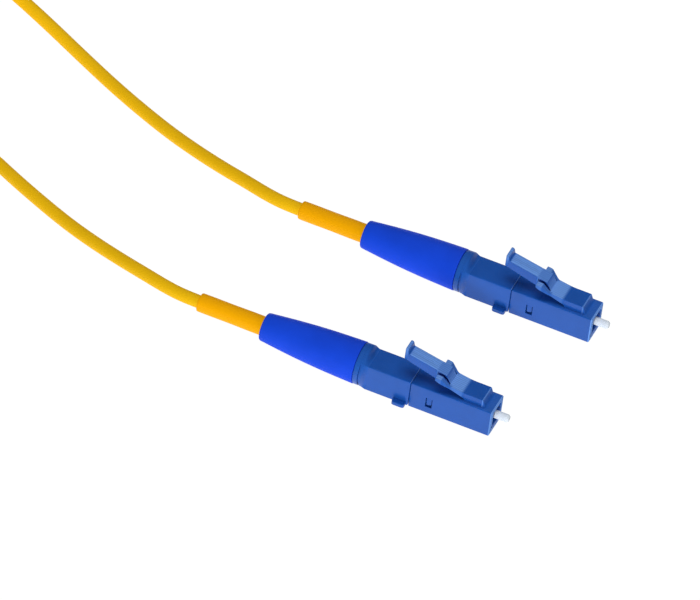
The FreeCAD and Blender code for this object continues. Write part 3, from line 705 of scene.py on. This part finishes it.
def add_lug(mesh, side):
    """Small ledge low on one side, with rounded ends and a softened top edge."""
    plan = softened([
        (LUG[0], LUG_IN), (LUG[0], LUG_OUT, LUG_ROUND), (LUG[1], LUG_OUT, LUG_ROUND), (LUG[1], LUG_IN),
    ])
    middle = Vector(((LUG[0] + LUG[1])/2, LUG_IN))
    levels = [
        (LUG_LOW, LUG_LOW_EDGE),
        (LUG_LOW + LUG_LOW_EDGE, 0.0),
        (LUG_TOP - LUG_EDGE, 0.0),
        (LUG_TOP, LUG_EDGE),
    ]
    rings = []
    for height, inset in levels:
        ring = []
        for point in plan:
            pulled = point + (middle - point).normalized()*inset
            ring.append(Vector((-pulled.x, side*pulled.y, height)))
        rings.append(ring)
    add_rings(mesh, rings)


TOOTH = (WINDOW[0] + 0.17, WINDOW[1] - 0.18)
TOOTH_HEIGHTS = (WINDOW_HEIGHTS[0] + 0.36, WINDOW_HEIGHTS[1] - 0.02)
TOOTH_IN = NOSE - 0.2
TOOTH_LOW = SOCKET + 0.3
TOOTH_OUT = SOCKET + 0.42
TOOTH_EDGE = 0.06


def add_tooth(mesh, side):
    """Snap tooth in the window: a ramp, then a flat, with gaps before, behind and below it."""
    low, high = TOOTH_HEIGHTS
    rings = []
    for back, out in ((TOOTH[0], TOOTH_LOW), (sum(TOOTH)/2, TOOTH_OUT), (TOOTH[1], TOOTH_OUT)):
        section = softened([
            (TOOTH_IN, low), (out, low, TOOTH_EDGE), (out, high, TOOTH_EDGE), (TOOTH_IN, high),
        ])
        rings.append([Vector((-back, side*point.x, point.y)) for point in section])
    add_rings(mesh, rings)


# Latch: root block, beam, ramp and thumb plate in one skin, and two ears; heights are above the plug's top

LATCH_FRONT = 1.15
LATCH_BACK = 14.85
FOOT = 7.25
SLOT = (7.3, 9.45)
SLOT_HALF = 0.75
PLATE_HALF = 1.1
SLAB_LAP = 0.02
LATCH_TOP = softened([
    (LATCH_FRONT, -0.02), (1.4, 0.06, 0.14), (1.85, 1.27, 0.1), (4.85, 1.27, 0.7), (FOOT, 1.62, 0.05),
    (8.05, 2.9, 0.08), (14.22, 4.2, 0.05), (14.34, 4.85, 0.08), (14.5, 5.08, 0.1), (LATCH_BACK, 5.1),
])
LATCH_UNDER = softened([
    (LATCH_FRONT, -0.15), (4.7, -0.15, 0.1), (4.85, 0.25, 0.1), (FOOT, 1.14), (SLOT[0], 0.82),
    (LATCH_BACK, 3.1),
])
LATCH_HALF = softened([
    (LATCH_FRONT, 1.65), (4.8, 1.65, 0.6), (FOOT, 1.72), (SLOT[0], SLOT_HALF), (SLOT[1], SLOT_HALF),
    (SLOT[1] + SLAB_LAP, PLATE_HALF), (LATCH_BACK, PLATE_HALF),
])
SLOT_SINK = 0.06
LATCH_EDGE = 0.06
UNDER_EDGE = 0.07
TOP_BORDER = 0.06
WALL_FRONT = 14.3
WALL_EDGE = 0.42
END_ROUND = 0.12
END_SHARES = (0, 0.5, 0.85)
BEND = (4.9, 7.2)
BEND_STATIONS = 12
CREASE = (7.27, 7.3)
ROOT_EDGE = (1.79, 2.0)
PAD = (9.75, 13.95)
RIBS = 4
RIB = 0.1
RIB_RUNOUT = 0.15
STATION_DIGITS = 4


def height_on(line, back):
    """Height of a line at a place, the line running backwards."""
    if back <= line[0].x:
        return line[0].y
    for first, second in zip(line, line[1:]):
        if first.x <= back <= second.x and second.x > first.x:
            return first.y + (second.y - first.y)*(back - first.x)/(second.x - first.x)
    return line[-1].y


def stations_on(*lines):
    """Places of the lines' points."""
    return {round(point.x, STATION_DIGITS) for line in lines for point in line}


def box_ring(back, inner, outer, low, high, top_edge, low_edge, ribs=1, rib=0.0):
    """Rounded box section between two widths and two heights; ribs of a height may run along its top."""
    border = top_edge + TOP_BORDER
    points = [(inner, low, low_edge), (outer, low, low_edge), (outer, high, top_edge)]
    for step in range(2*ribs + 1):
        across = outer - border + (inner - outer + 2*border)*step/(2*ribs)
        points.append((across, high + rib*(step % 2)))
    points.append((inner, high, top_edge))
    return [Vector((-back, point.x, point.y)) for point in softened(points, closed=True)]


def latch_stations():
    """Places where the latch's skin gets a section."""
    stations = stations_on(LATCH_TOP, LATCH_UNDER, LATCH_HALF)
    for step in range(BEND_STATIONS + 1):
        stations.add(round(BEND[0] + (BEND[1] - BEND[0])*step/BEND_STATIONS, STATION_DIGITS))
    stations |= {*CREASE, *ROOT_EDGE, *PAD, PAD[0] + RIB_RUNOUT, PAD[1] - RIB_RUNOUT}
    for share in END_SHARES:
        stations.add(LATCH_BACK - END_ROUND*(1 - share))
    return sorted(stations)


def rib_height(back):
    """Height of the fine ribs along the grip pad, which run out at its ends."""
    return RIB*fade(back, PAD[0], PAD[0] + RIB_RUNOUT)*(1 - fade(back, PAD[1] - RIB_RUNOUT, PAD[1]))


def make_latch(end):
    mesh = bmesh.new()
    rings = []
    for back in latch_stations():
        inset = max(0, back - (LATCH_BACK - END_ROUND))
        pull = END_ROUND - math.sqrt(max(0, END_ROUND**2 - inset**2))
        half = height_on(LATCH_HALF, back) - pull
        low = HIGH + height_on(LATCH_UNDER, back) + pull
        high = HIGH + height_on(LATCH_TOP, back) - pull
        if SLOT[0] <= back <= SLOT[1]:
            high -= SLOT_SINK
        edge = WALL_EDGE if back > WALL_FRONT else LATCH_EDGE
        rings.append(box_ring(back, -half, half, low, high, edge, UNDER_EDGE, RIBS, rib_height(back)))
    add_rings(mesh, rings)
    add_slab(mesh)
    for side in (-1, 1):
        add_ear(mesh, side)
    latch = finish_mesh(
        mesh, f"latch_skin_{end}", PLUGS[end], "housing_blue", None, f"latch_lever_{end}", grain=latch_grain_and_highlights,
    )
    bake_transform(latch)


SLAB = 0.14
SLAB_FRONT = SLOT[0] - 0.04
SLAB_EDGE = 0.03


def add_slab(mesh):
    """Thin top of the thumb plate's front end, which overhangs the slots beside the ears."""
    stations = {back for back in stations_on(LATCH_TOP) if SLOT[0] < back < SLOT[1]}
    stations |= {SLAB_FRONT, SLOT[1] + SLAB_LAP}
    rings = []
    for back in sorted(stations):
        high = HIGH + height_on(LATCH_TOP, back)
        rings.append(box_ring(back, -PLATE_HALF, PLATE_HALF, high - SLAB, high, SLAB_EDGE, SLAB_EDGE))
    add_rings(mesh, rings)


EAR_FRONT = 6.9
EAR_BACK = 9.35
EAR_TOP = softened([(EAR_FRONT, 1.5), (7.3, 1.6, 0.3), (8.45, 2.68, 0.04), (EAR_BACK, 2.74)])
EAR_UNDER = softened([(EAR_FRONT, 1.02), (EAR_BACK, 2.28)])
EAR_OUT = softened([(EAR_FRONT, 1.7), (8.6, 2.3, 0.5), (EAR_BACK, 2.33)])
EAR_IN = 1.36
EAR_EDGE = 0.04
EAR_BEVEL = 0.05
EAR_BEVEL_BOW = 0.015
WEB = 0.2
WEB_LAP = 0.1
WEB_RISE = 0.02


def side_ring(back, side, inner, outer, low, high):
    """Section of an ear or its web on one side of the latch."""
    first, last = sorted((side*inner, side*outer))
    return box_ring(back, first, last, low, high, EAR_EDGE, EAR_EDGE)


def add_ear(mesh, side):
    """Locking ear that widens and rises backwards to a step, with a pocket between it and the plate."""
    web = []
    for back in (SLOT[0] - WEB_LAP, EAR_BACK - EAR_BEVEL):
        low = HIGH + height_on(EAR_UNDER, back) + WEB_RISE
        web.append(side_ring(back, side, SLOT_HALF - WEB_LAP, EAR_IN + WEB_LAP, low, low + WEB))
    add_rings(mesh, web)
    ear = []
    for back in sorted(stations_on(EAR_TOP, EAR_OUT) | {EAR_BACK - EAR_BEVEL, EAR_BACK - EAR_BEVEL_BOW}):
        pull = max(0, back - (EAR_BACK - EAR_BEVEL))
        low = HIGH + height_on(EAR_UNDER, back) + pull
        high = HIGH + height_on(EAR_TOP, back) - pull
        ear.append(side_ring(back, side, EAR_IN + pull, height_on(EAR_OUT, back) - pull, low, high))
    add_rings(mesh, ear)


# Grain and painted light on the latch's faces: where each begins, and how pale and matt it is; the root's
# edge, the beam's slope, the plate's edges, the wall's top and the ears are painted paler as light and
# highlights

SIDE_MARGIN = 0.05
EAR_FLAT = (8.4, 8.5)
EAR_FLAT_OUT = 2.28
EAR_PAINTED_LIGHT = 0.3
ROOT_EDGE_HIGHLIGHT = 0.6
SLOPE = (4.85, 5.4)
SLOPE_LOW = 1.2
SLOPE_SIDE_PAINTED_LIGHT = 0.35
PLATEAU_BACK = PAD[0] - 0.1
PLATEAU_LOW = 2.84
PLATEAU_GRAIN = 0.62
PLATEAU_EDGE_HIGHLIGHT = 0.8
WALL_LOW = 4.6
WALL_TOP = (14.42, 14.8)
WALL_TOP_HIGHLIGHT = 0.9
PAD_FADE = (0.08, 0.06)
PAD_LOW = 2.9


def latch_grain_and_highlights(point):
    """One on the beam's slope and the ears' flat tops, painted light, and on the grip pad, its grain; less on
    the other raised faces, with painted highlights on the root's edge, the plate's edges and the wall's top.
    """
    back = -point.x
    height = point.z - HIGH
    aside = abs(point.y)
    # the ears are painted paler as light falling on them, with a painted highlight on their flat tops
    if aside > EAR_IN - SIDE_MARGIN and back > EAR_FRONT + 2*NEAR:
        return painted_ear_light(back, height, aside)
    if back < ROOT_EDGE[0] + NEAR:
        return GRAIN_TRACE
    # painted highlight on the root block's top front edge
    if back < ROOT_EDGE[1] - NEAR:
        return ROOT_EDGE_HIGHLIGHT
    # the beam's slope is painted paler as light falling on it, less on its sides; it also takes the matt
    # grain
    if back < CREASE[1] - NEAR:
        top = height > SLOPE_LOW and aside < height_on(LATCH_HALF, back) - SIDE_MARGIN
        return fade(back, *SLOPE)*(1 - fade(back, *CREASE))*(1.0 if top else SLOPE_SIDE_PAINTED_LIGHT)
    if back < PLATEAU_BACK:
        if height < PLATEAU_LOW:
            return GRAIN_TRACE
        # the plate's side edges are painted paler, as highlights
        return PLATEAU_EDGE_HIGHLIGHT if aside > PLATE_HALF - SIDE_MARGIN else PLATEAU_GRAIN
    # a painted highlight along the top of the end wall
    if height > WALL_LOW:
        return WALL_TOP_HIGHLIGHT if WALL_TOP[0] < back < WALL_TOP[1] else 0.0
    on_pad = fade(back, PAD[0] - PAD_FADE[0], PAD[0])*(1 - fade(back, PAD[1], PAD[1] + PAD_FADE[1]))
    return on_pad if height > PAD_LOW and aside < PLATE_HALF - 2*NEAR else 0.0


def painted_ear_light(back, height, aside):
    """Painted light on an ear, the most on the flat of its top, where it is a painted highlight."""
    flat = EAR_PAINTED_LIGHT + (1 - EAR_PAINTED_LIGHT)*fade(back, *EAR_FLAT)
    on_top = height > height_on(EAR_TOP, back) - 2*NEAR and aside < EAR_FLAT_OUT
    return flat if on_top else flat*EAR_PAINTED_LIGHT


# Turned pieces: boot, strain sleeve and ferrule

BOOT_FRONT, BOOT_BACK = behind("boot")
BOOT_WIDE = span("boot", 2)/2
BOOT_END = 2.125
BOOT_BELLY = 0.2
BOOT_STEPS = 8
BOOT_FRONT_ROUND = 0.16
BOOT_BACK_ROUND = 0.5
BOOT_MOUTH = 0.02
BOOT_MOUTH_ROUND = 0.08
BOOT_MOUTH_DEPTH = 0.5
CRIMP_ROOM = 1.85
SLEEVE_FRONT, SLEEVE_BACK = behind("strain_sleeve")
SLEEVE = span("strain_sleeve", 1)/2
SLEEVE_STEPS = 10
SLEEVE_SHRINK = 0.035
SLEEVE_WAVE = 0.012
SLEEVE_WAVE_TURN = 9
SLEEVE_END = 0.3
SLEEVE_END_DROP = 0.06
SLEEVE_END_ROUND = 0.22
CABLE = span("jacket_end", 1)/2


def make_boot(end):
    profile = [(BOOT_FRONT, CRIMP_ROOM), (BOOT_FRONT, BOOT_WIDE, BOOT_FRONT_ROUND)]
    for step in range(1, BOOT_STEPS):
        share = step/BOOT_STEPS
        radius = BOOT_WIDE + (BOOT_END - BOOT_WIDE)*share + BOOT_BELLY*math.sin(math.pi*share)
        profile.append((BOOT_FRONT + (BOOT_BACK - BOOT_FRONT)*share, radius))
    profile += [(BOOT_BACK, BOOT_END, BOOT_BACK_ROUND), (BOOT_BACK, SLEEVE + BOOT_MOUTH, BOOT_MOUTH_ROUND)]
    profile += [(BOOT_BACK - BOOT_MOUTH_DEPTH, SLEEVE), (SLEEVE_FRONT, SLEEVE), (SLEEVE_FRONT, CRIMP_ROOM)]
    turned_piece("boot", end, profile, "boot_blue")


def make_sleeve(end):
    """Strain sleeve: a shrunk tube that draws in a little along its length."""
    profile = [(SLEEVE_FRONT, CABLE), (SLEEVE_FRONT, SLEEVE)]
    for step in range(SLEEVE_STEPS + 1):
        share = step/SLEEVE_STEPS
        radius = SLEEVE - SLEEVE_SHRINK*share + SLEEVE_WAVE*math.sin(SLEEVE_WAVE_TURN*share)
        profile.append((BOOT_BACK + (SLEEVE_BACK - SLEEVE_END - BOOT_BACK)*share, radius))
    profile += [(SLEEVE_BACK, SLEEVE - SLEEVE_END_DROP, SLEEVE_END_ROUND), (SLEEVE_BACK, CABLE)]
    turned_piece("strain_sleeve", end, profile, "sleeve_yellow")


FERRULE = span("ferrule", 1)/2
FERRULE_FRONT, FERRULE_BACK = behind("ferrule")
GLASS = 0.0635
TIP_LENGTH = 0.28
TIP_DROP = 0.2
TIP_ROUND = 0.14
SHOULDER_ROUND = 0.15
NECK = (1.81, 2.36)
NECK_DEPTH = 0.2
NECK_SLOPE = 0.01


def make_ferrule(end):
    profile = [
        (FERRULE_FRONT, GLASS),
        (FERRULE_FRONT, FERRULE - TIP_DROP, TIP_ROUND),
        (FERRULE_FRONT + TIP_LENGTH, FERRULE, SHOULDER_ROUND),
        (NECK[0], FERRULE),
        (NECK[0] + NECK_SLOPE, FERRULE - NECK_DEPTH),
        (NECK[1] - NECK_SLOPE, FERRULE - NECK_DEPTH),
        (NECK[1], FERRULE),
        (FERRULE_BACK, FERRULE),
        (FERRULE_BACK, GLASS),
    ]
    turned_piece("ferrule", end, profile, "ferrule_white", body=f"ferrule_{end}")


# Spring: a wire helix along the length of the spring's box

SPRING_MEAN = 1.15
SPRING_WIRE = 0.15
SPRING_TURNS = 6
SPRING_STEPS = 24
WIRE_STEPS = 8


def make_spring(end):
    low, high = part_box(f"ferrule_spring_{end}")
    start = low.x/MM - PLUGS[end].x + SPRING_WIRE
    length = (high.x - low.x)/MM
    mesh = bmesh.new()
    rings = []
    steps = SPRING_TURNS*SPRING_STEPS
    for step in range(steps + 1):
        angle = 2*math.pi*step/SPRING_STEPS
        out = Vector((0, math.cos(angle), math.sin(angle)))
        middle = out*SPRING_MEAN + Vector((start + (length - 2*SPRING_WIRE)*step/steps, 0, 0))
        ring = []
        for turn in range(WIRE_STEPS):
            around = 2*math.pi*turn/WIRE_STEPS
            ring.append(middle + (out*math.cos(around) + Vector((math.sin(around), 0, 0)))*SPRING_WIRE)
        rings.append(ring)
    add_rings(mesh, rings)
    spring = finish_mesh(
        mesh, f"spring_skin_{end}", PLUGS[end], "spring_steel", "cable", f"ferrule_spring_{end}",
    )
    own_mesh(spring)


# Cable: one smooth line from sleeve to sleeve, with its spare length in a coil

ROUTE_A = [
    (-27.225, -12.9, 3.25),
    (-29.8, -12.9, 3.25),
    (-33.0, -12.3, 3.15),
    (-37.0, -10.95, 2.78),
    (-41.2, -9.45, 2.25),
    (-46.9, -7.15, 1.5),
    (-52.7, -4.65, 1.0),
    (-61.5, -0.65, 1.0),
    (-68.5, 3.0, 1.0),
    (-76.0, 5.4, 1.0),
    (-83.0, 6.2, 1.15),
    (-88.3, 6.0, 1.35),
]
ROUTE_B = [
    (-22.225, 12.9, 3.25),
    (-24.8, 12.9, 3.25),
    (-28.0, 13.5, 3.15),
    (-32.0, 14.9, 2.78),
    (-36.4, 16.4, 2.25),
    (-42.1, 18.75, 1.5),
    (-47.9, 21.25, 1.0),
    (-56.5, 25.1, 1.0),
    (-64.0, 28.6, 1.5),
    (-72.0, 31.7, 3.0),
    (-80.0, 33.8, 5.2),
    (-87.0, 34.6, 6.9),
]
COIL_MIDDLE = (-93.0, 20.0)
COIL_OUTER = 14.6
COIL_INNER = 9.4
COIL_FLOOR = 1.5
COIL_LAYERS = 4
COIL_TURNS = 10.5
LAYER_RISE = 0.08
POINTS_PER_TURN = 16
SPLINE_ORDER = 3
SPLINE_STEPS = 6
ROUND_STEPS = 7


def coil_points():
    """Turns that spiral in and out by layers, clockwise from the near side to the far side."""
    points = []
    steps = int(COIL_TURNS*POINTS_PER_TURN)
    for step in range(steps + 1):
        along = step/steps*COIL_LAYERS
        layer = min(int(along), COIL_LAYERS - 1)
        share = along - layer
        out = share if layer % 2 else 1 - share
        radius = COIL_INNER + (COIL_OUTER - COIL_INNER)*out
        rise = min(1, max(0, (share - (1 - LAYER_RISE))/LAYER_RISE))
        level = layer + rise*(layer < COIL_LAYERS - 1)
        angle = -math.pi/2 - step/steps*COIL_TURNS*2*math.pi
        points.append((
            COIL_MIDDLE[0] + radius*math.cos(angle),
            COIL_MIDDLE[1] + radius*math.sin(angle),
            COIL_FLOOR + level*2*CABLE,
        ))
    return points


def make_cable():
    points = ROUTE_A + coil_points() + ROUTE_B[::-1]
    curve = bpy.data.curves.new("cable", "CURVE")
    curve.dimensions = "3D"
    spline = curve.splines.new("NURBS")
    spline.points.add(len(points) - 1)
    for spot, point in zip(spline.points, points):
        spot.co = (point[0]*MM, point[1]*MM, point[2]*MM, 1)
    spline.order_u = SPLINE_ORDER
    spline.use_endpoint_u = True
    spline.resolution_u = SPLINE_STEPS
    curve.bevel_depth = CABLE*MM
    curve.bevel_resolution = ROUND_STEPS
    curve.materials.append(finishes["jacket_yellow"])
    cable = bpy.data.objects.new("cable", curve)
    bpy.context.collection.objects.link(cable)
    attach(cable, "cable")
    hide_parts("cable_run_a", "cable_run_b", "cable_coil")


# Tie: a hook and loop strap round the coil, its free end lapped over the top

STRAP = 0.5
STRAP_EDGE = 0.15
STRAP_CORNER = 1.6
STRAP_DRAW = 0.45
STRAP_CREST_ROUND = 1.0
STRAP_SHARP = 60
STRAP_LAP = 0.98*STRAP
TAIL_START = 1.4
TAIL_RISE = 3.2
TAIL_INSETS = (0.15, 0.1)


def strap_rings(line, closed, low_y, high_y):
    """Sections of a strap along a line in x and z: width along y, thickness across the line."""
    half = STRAP/2
    section = softened([
        (low_y, -half, STRAP_EDGE), (high_y, -half, STRAP_EDGE), (high_y, half, STRAP_EDGE),
        (low_y, half, STRAP_EDGE),
    ], closed=True)
    rings = []
    count = len(line)
    for index, point in enumerate(line):
        before = line[index - 1] if closed or index else point
        after = line[(index + 1) % count] if closed or index < count - 1 else point
        run = (after - before).normalized()
        rings.append([Vector((point.x + run.y*spot.y, spot.x, point.y - run.x*spot.y)) for spot in section])
    return rings


def make_tie():
    low, high = (corner_point/MM for corner_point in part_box("coil_tie"))
    half = STRAP/2
    left, right, floor, top = low.x + half, high.x - half, low.z + half, high.z - half
    crest = COIL_FLOOR + COIL_LAYERS*CABLE
    loop = softened([
        (left + STRAP_DRAW, floor, STRAP_CORNER),
        (left, crest, STRAP_CREST_ROUND),
        (left + STRAP_DRAW, top, STRAP_CORNER),
        (right, top, STRAP_CORNER),
        (right, floor, STRAP_CORNER),
    ], closed=True)
    tail = softened([
        (left + TAIL_START, top + STRAP_LAP),
        (right, top + STRAP_LAP, STRAP_CORNER + STRAP_LAP),
        (right + STRAP_LAP, floor + TAIL_RISE),
    ])
    mesh = bmesh.new()
    add_rings(mesh, strap_rings(loop, True, low.y, high.y), loop=True)
    add_rings(mesh, strap_rings(tail, False, low.y + TAIL_INSETS[0], high.y - TAIL_INSETS[1]))
    finish_mesh(mesh, "coil_strap", Vector((0, 0, 0)), "tie_black", "cable", "coil_tie", sharp=STRAP_SHARP)


# Stage: white floor that keeps a faint shadow, soft lamps and a room that is dark above the object

def background_rays(tree):
    """One for rays that look at the background: from the camera, by reflection or through glass."""
    rays = tree.nodes.new("ShaderNodeLightPath")
    total = rays.outputs["Is Camera Ray"]
    for name in ("Is Glossy Ray", "Is Transmission Ray"):
        most = tree.nodes.new("ShaderNodeMath")
        most.operation = "MAXIMUM"
        tree.links.new(total, most.inputs[0])
        tree.links.new(rays.outputs[name], most.inputs[1])
        total = most.outputs[0]
    return total


FLOOR_SIZE = 3.0
FLOOR_GREY = (0.8, 0.8, 0.8, 1)
SHADOW_SHARE = 0.06
PAPER_WHITE = 1.06


def make_floor():
    mesh = bpy.data.meshes.new("floor")
    corners = [(-1, -1), (1, -1), (1, 1), (-1, 1)]
    mesh.from_pydata([(x*FLOOR_SIZE, y*FLOOR_SIZE, 0) for x, y in corners], [], [(0, 1, 2, 3)])
    floor = bpy.data.objects.new("floor", mesh)
    bpy.context.collection.objects.link(floor)
    floor.visible_shadow = False
    material = bpy.data.materials.new("floor")
    material.use_nodes = True
    material.cycles.emission_sampling = "NONE"
    mesh.materials.append(material)
    tree = material.node_tree
    tree.nodes.clear()
    paper = tree.nodes.new("ShaderNodeBsdfDiffuse")
    paper.inputs["Color"].default_value = FLOOR_GREY
    glow = tree.nodes.new("ShaderNodeEmission")
    glow.inputs["Strength"].default_value = PAPER_WHITE
    share = tree.nodes.new("ShaderNodeMath")
    share.operation = "MULTIPLY"
    share.inputs[1].default_value = 1 - SHADOW_SHARE
    tree.links.new(background_rays(tree), share.inputs[0])
    mix = tree.nodes.new("ShaderNodeMixShader")
    out = tree.nodes.new("ShaderNodeOutputMaterial")
    tree.links.new(share.outputs[0], mix.inputs["Fac"])
    tree.links.new(paper.outputs[0], mix.inputs[1])
    tree.links.new(glow.outputs[0], mix.inputs[2])
    tree.links.new(mix.outputs[0], out.inputs["Surface"])


ROOM_LOW = 0.55
ROOM_WHITE = 1.0
ROOM_HIGH = 0.06
ROOM_FADE = (0.22, 0.52)


def make_room():
    """World that is pale near the horizon and dark above it, with a white horizon behind the object."""
    world = bpy.data.worlds.new("room")
    bpy.context.scene.world = world
    world.use_nodes = True
    tree = world.node_tree
    sky = tree.nodes["Background"]
    place = tree.nodes.new("ShaderNodeTexCoord")
    axes = tree.nodes.new("ShaderNodeSeparateXYZ")
    tree.links.new(place.outputs["Generated"], axes.inputs[0])
    horizon = spread(tree, background_rays(tree), ROOM_LOW, ROOM_WHITE, over=WHOLE_RANGE)
    level = tree.nodes.new("ShaderNodeMapRange")
    level.inputs["From Min"].default_value = ROOM_FADE[0]
    level.inputs["From Max"].default_value = ROOM_FADE[1]
    level.inputs["To Max"].default_value = ROOM_HIGH
    tree.links.new(axes.outputs["Z"], level.inputs["Value"])
    tree.links.new(horizon, level.inputs["To Min"])
    tree.links.new(level.outputs["Result"], sky.inputs["Strength"])


# each lamp's direction, strength and width in degrees
LAMPS = {
    "front": ((0.15, -0.95, 0.25), 1.60, 10),
    "overhead": ((-0.05, 0.10, 1.0), 1.46, 46),
    "right": ((0.95, -0.15, 0.30), 0.6, 40),
    "table": ((0.10, -0.80, -0.60), 1.25, 40),
    "back": ((-0.10, 0.85, 0.50), 0.45, 40),
}


def make_lamps():
    for name, (towards, power, width) in LAMPS.items():
        data = bpy.data.lights.new(name, "SUN")
        data.energy = power
        data.angle = math.radians(width)
        lamp = bpy.data.objects.new(name, data)
        lamp.rotation_euler = Vector(towards).to_track_quat("Z", "Y").to_euler()
        lamp.visible_glossy = False
        bpy.context.collection.objects.link(lamp)


finishes = make_finishes()
make_camera()
make_cable()
for plug_end in ENDS:
    make_front_housing(plug_end)
    make_rear_housing(plug_end)
    make_latch(plug_end)
    make_boot(plug_end)
    make_sleeve(plug_end)
    make_ferrule(plug_end)
    make_spring(plug_end)
make_tie()

# Nodes that keep their solids take the finish of their slot
for subpart in frame["record"]["subparts"]:
    node = frame["nodes"][subpart["node"]]
    node.data.materials.clear()
    node.data.materials.append(finishes[subpart["material_slot"]])

make_floor()
make_room()
make_lamps()
bpy.context.scene.view_settings.view_transform = "Standard"
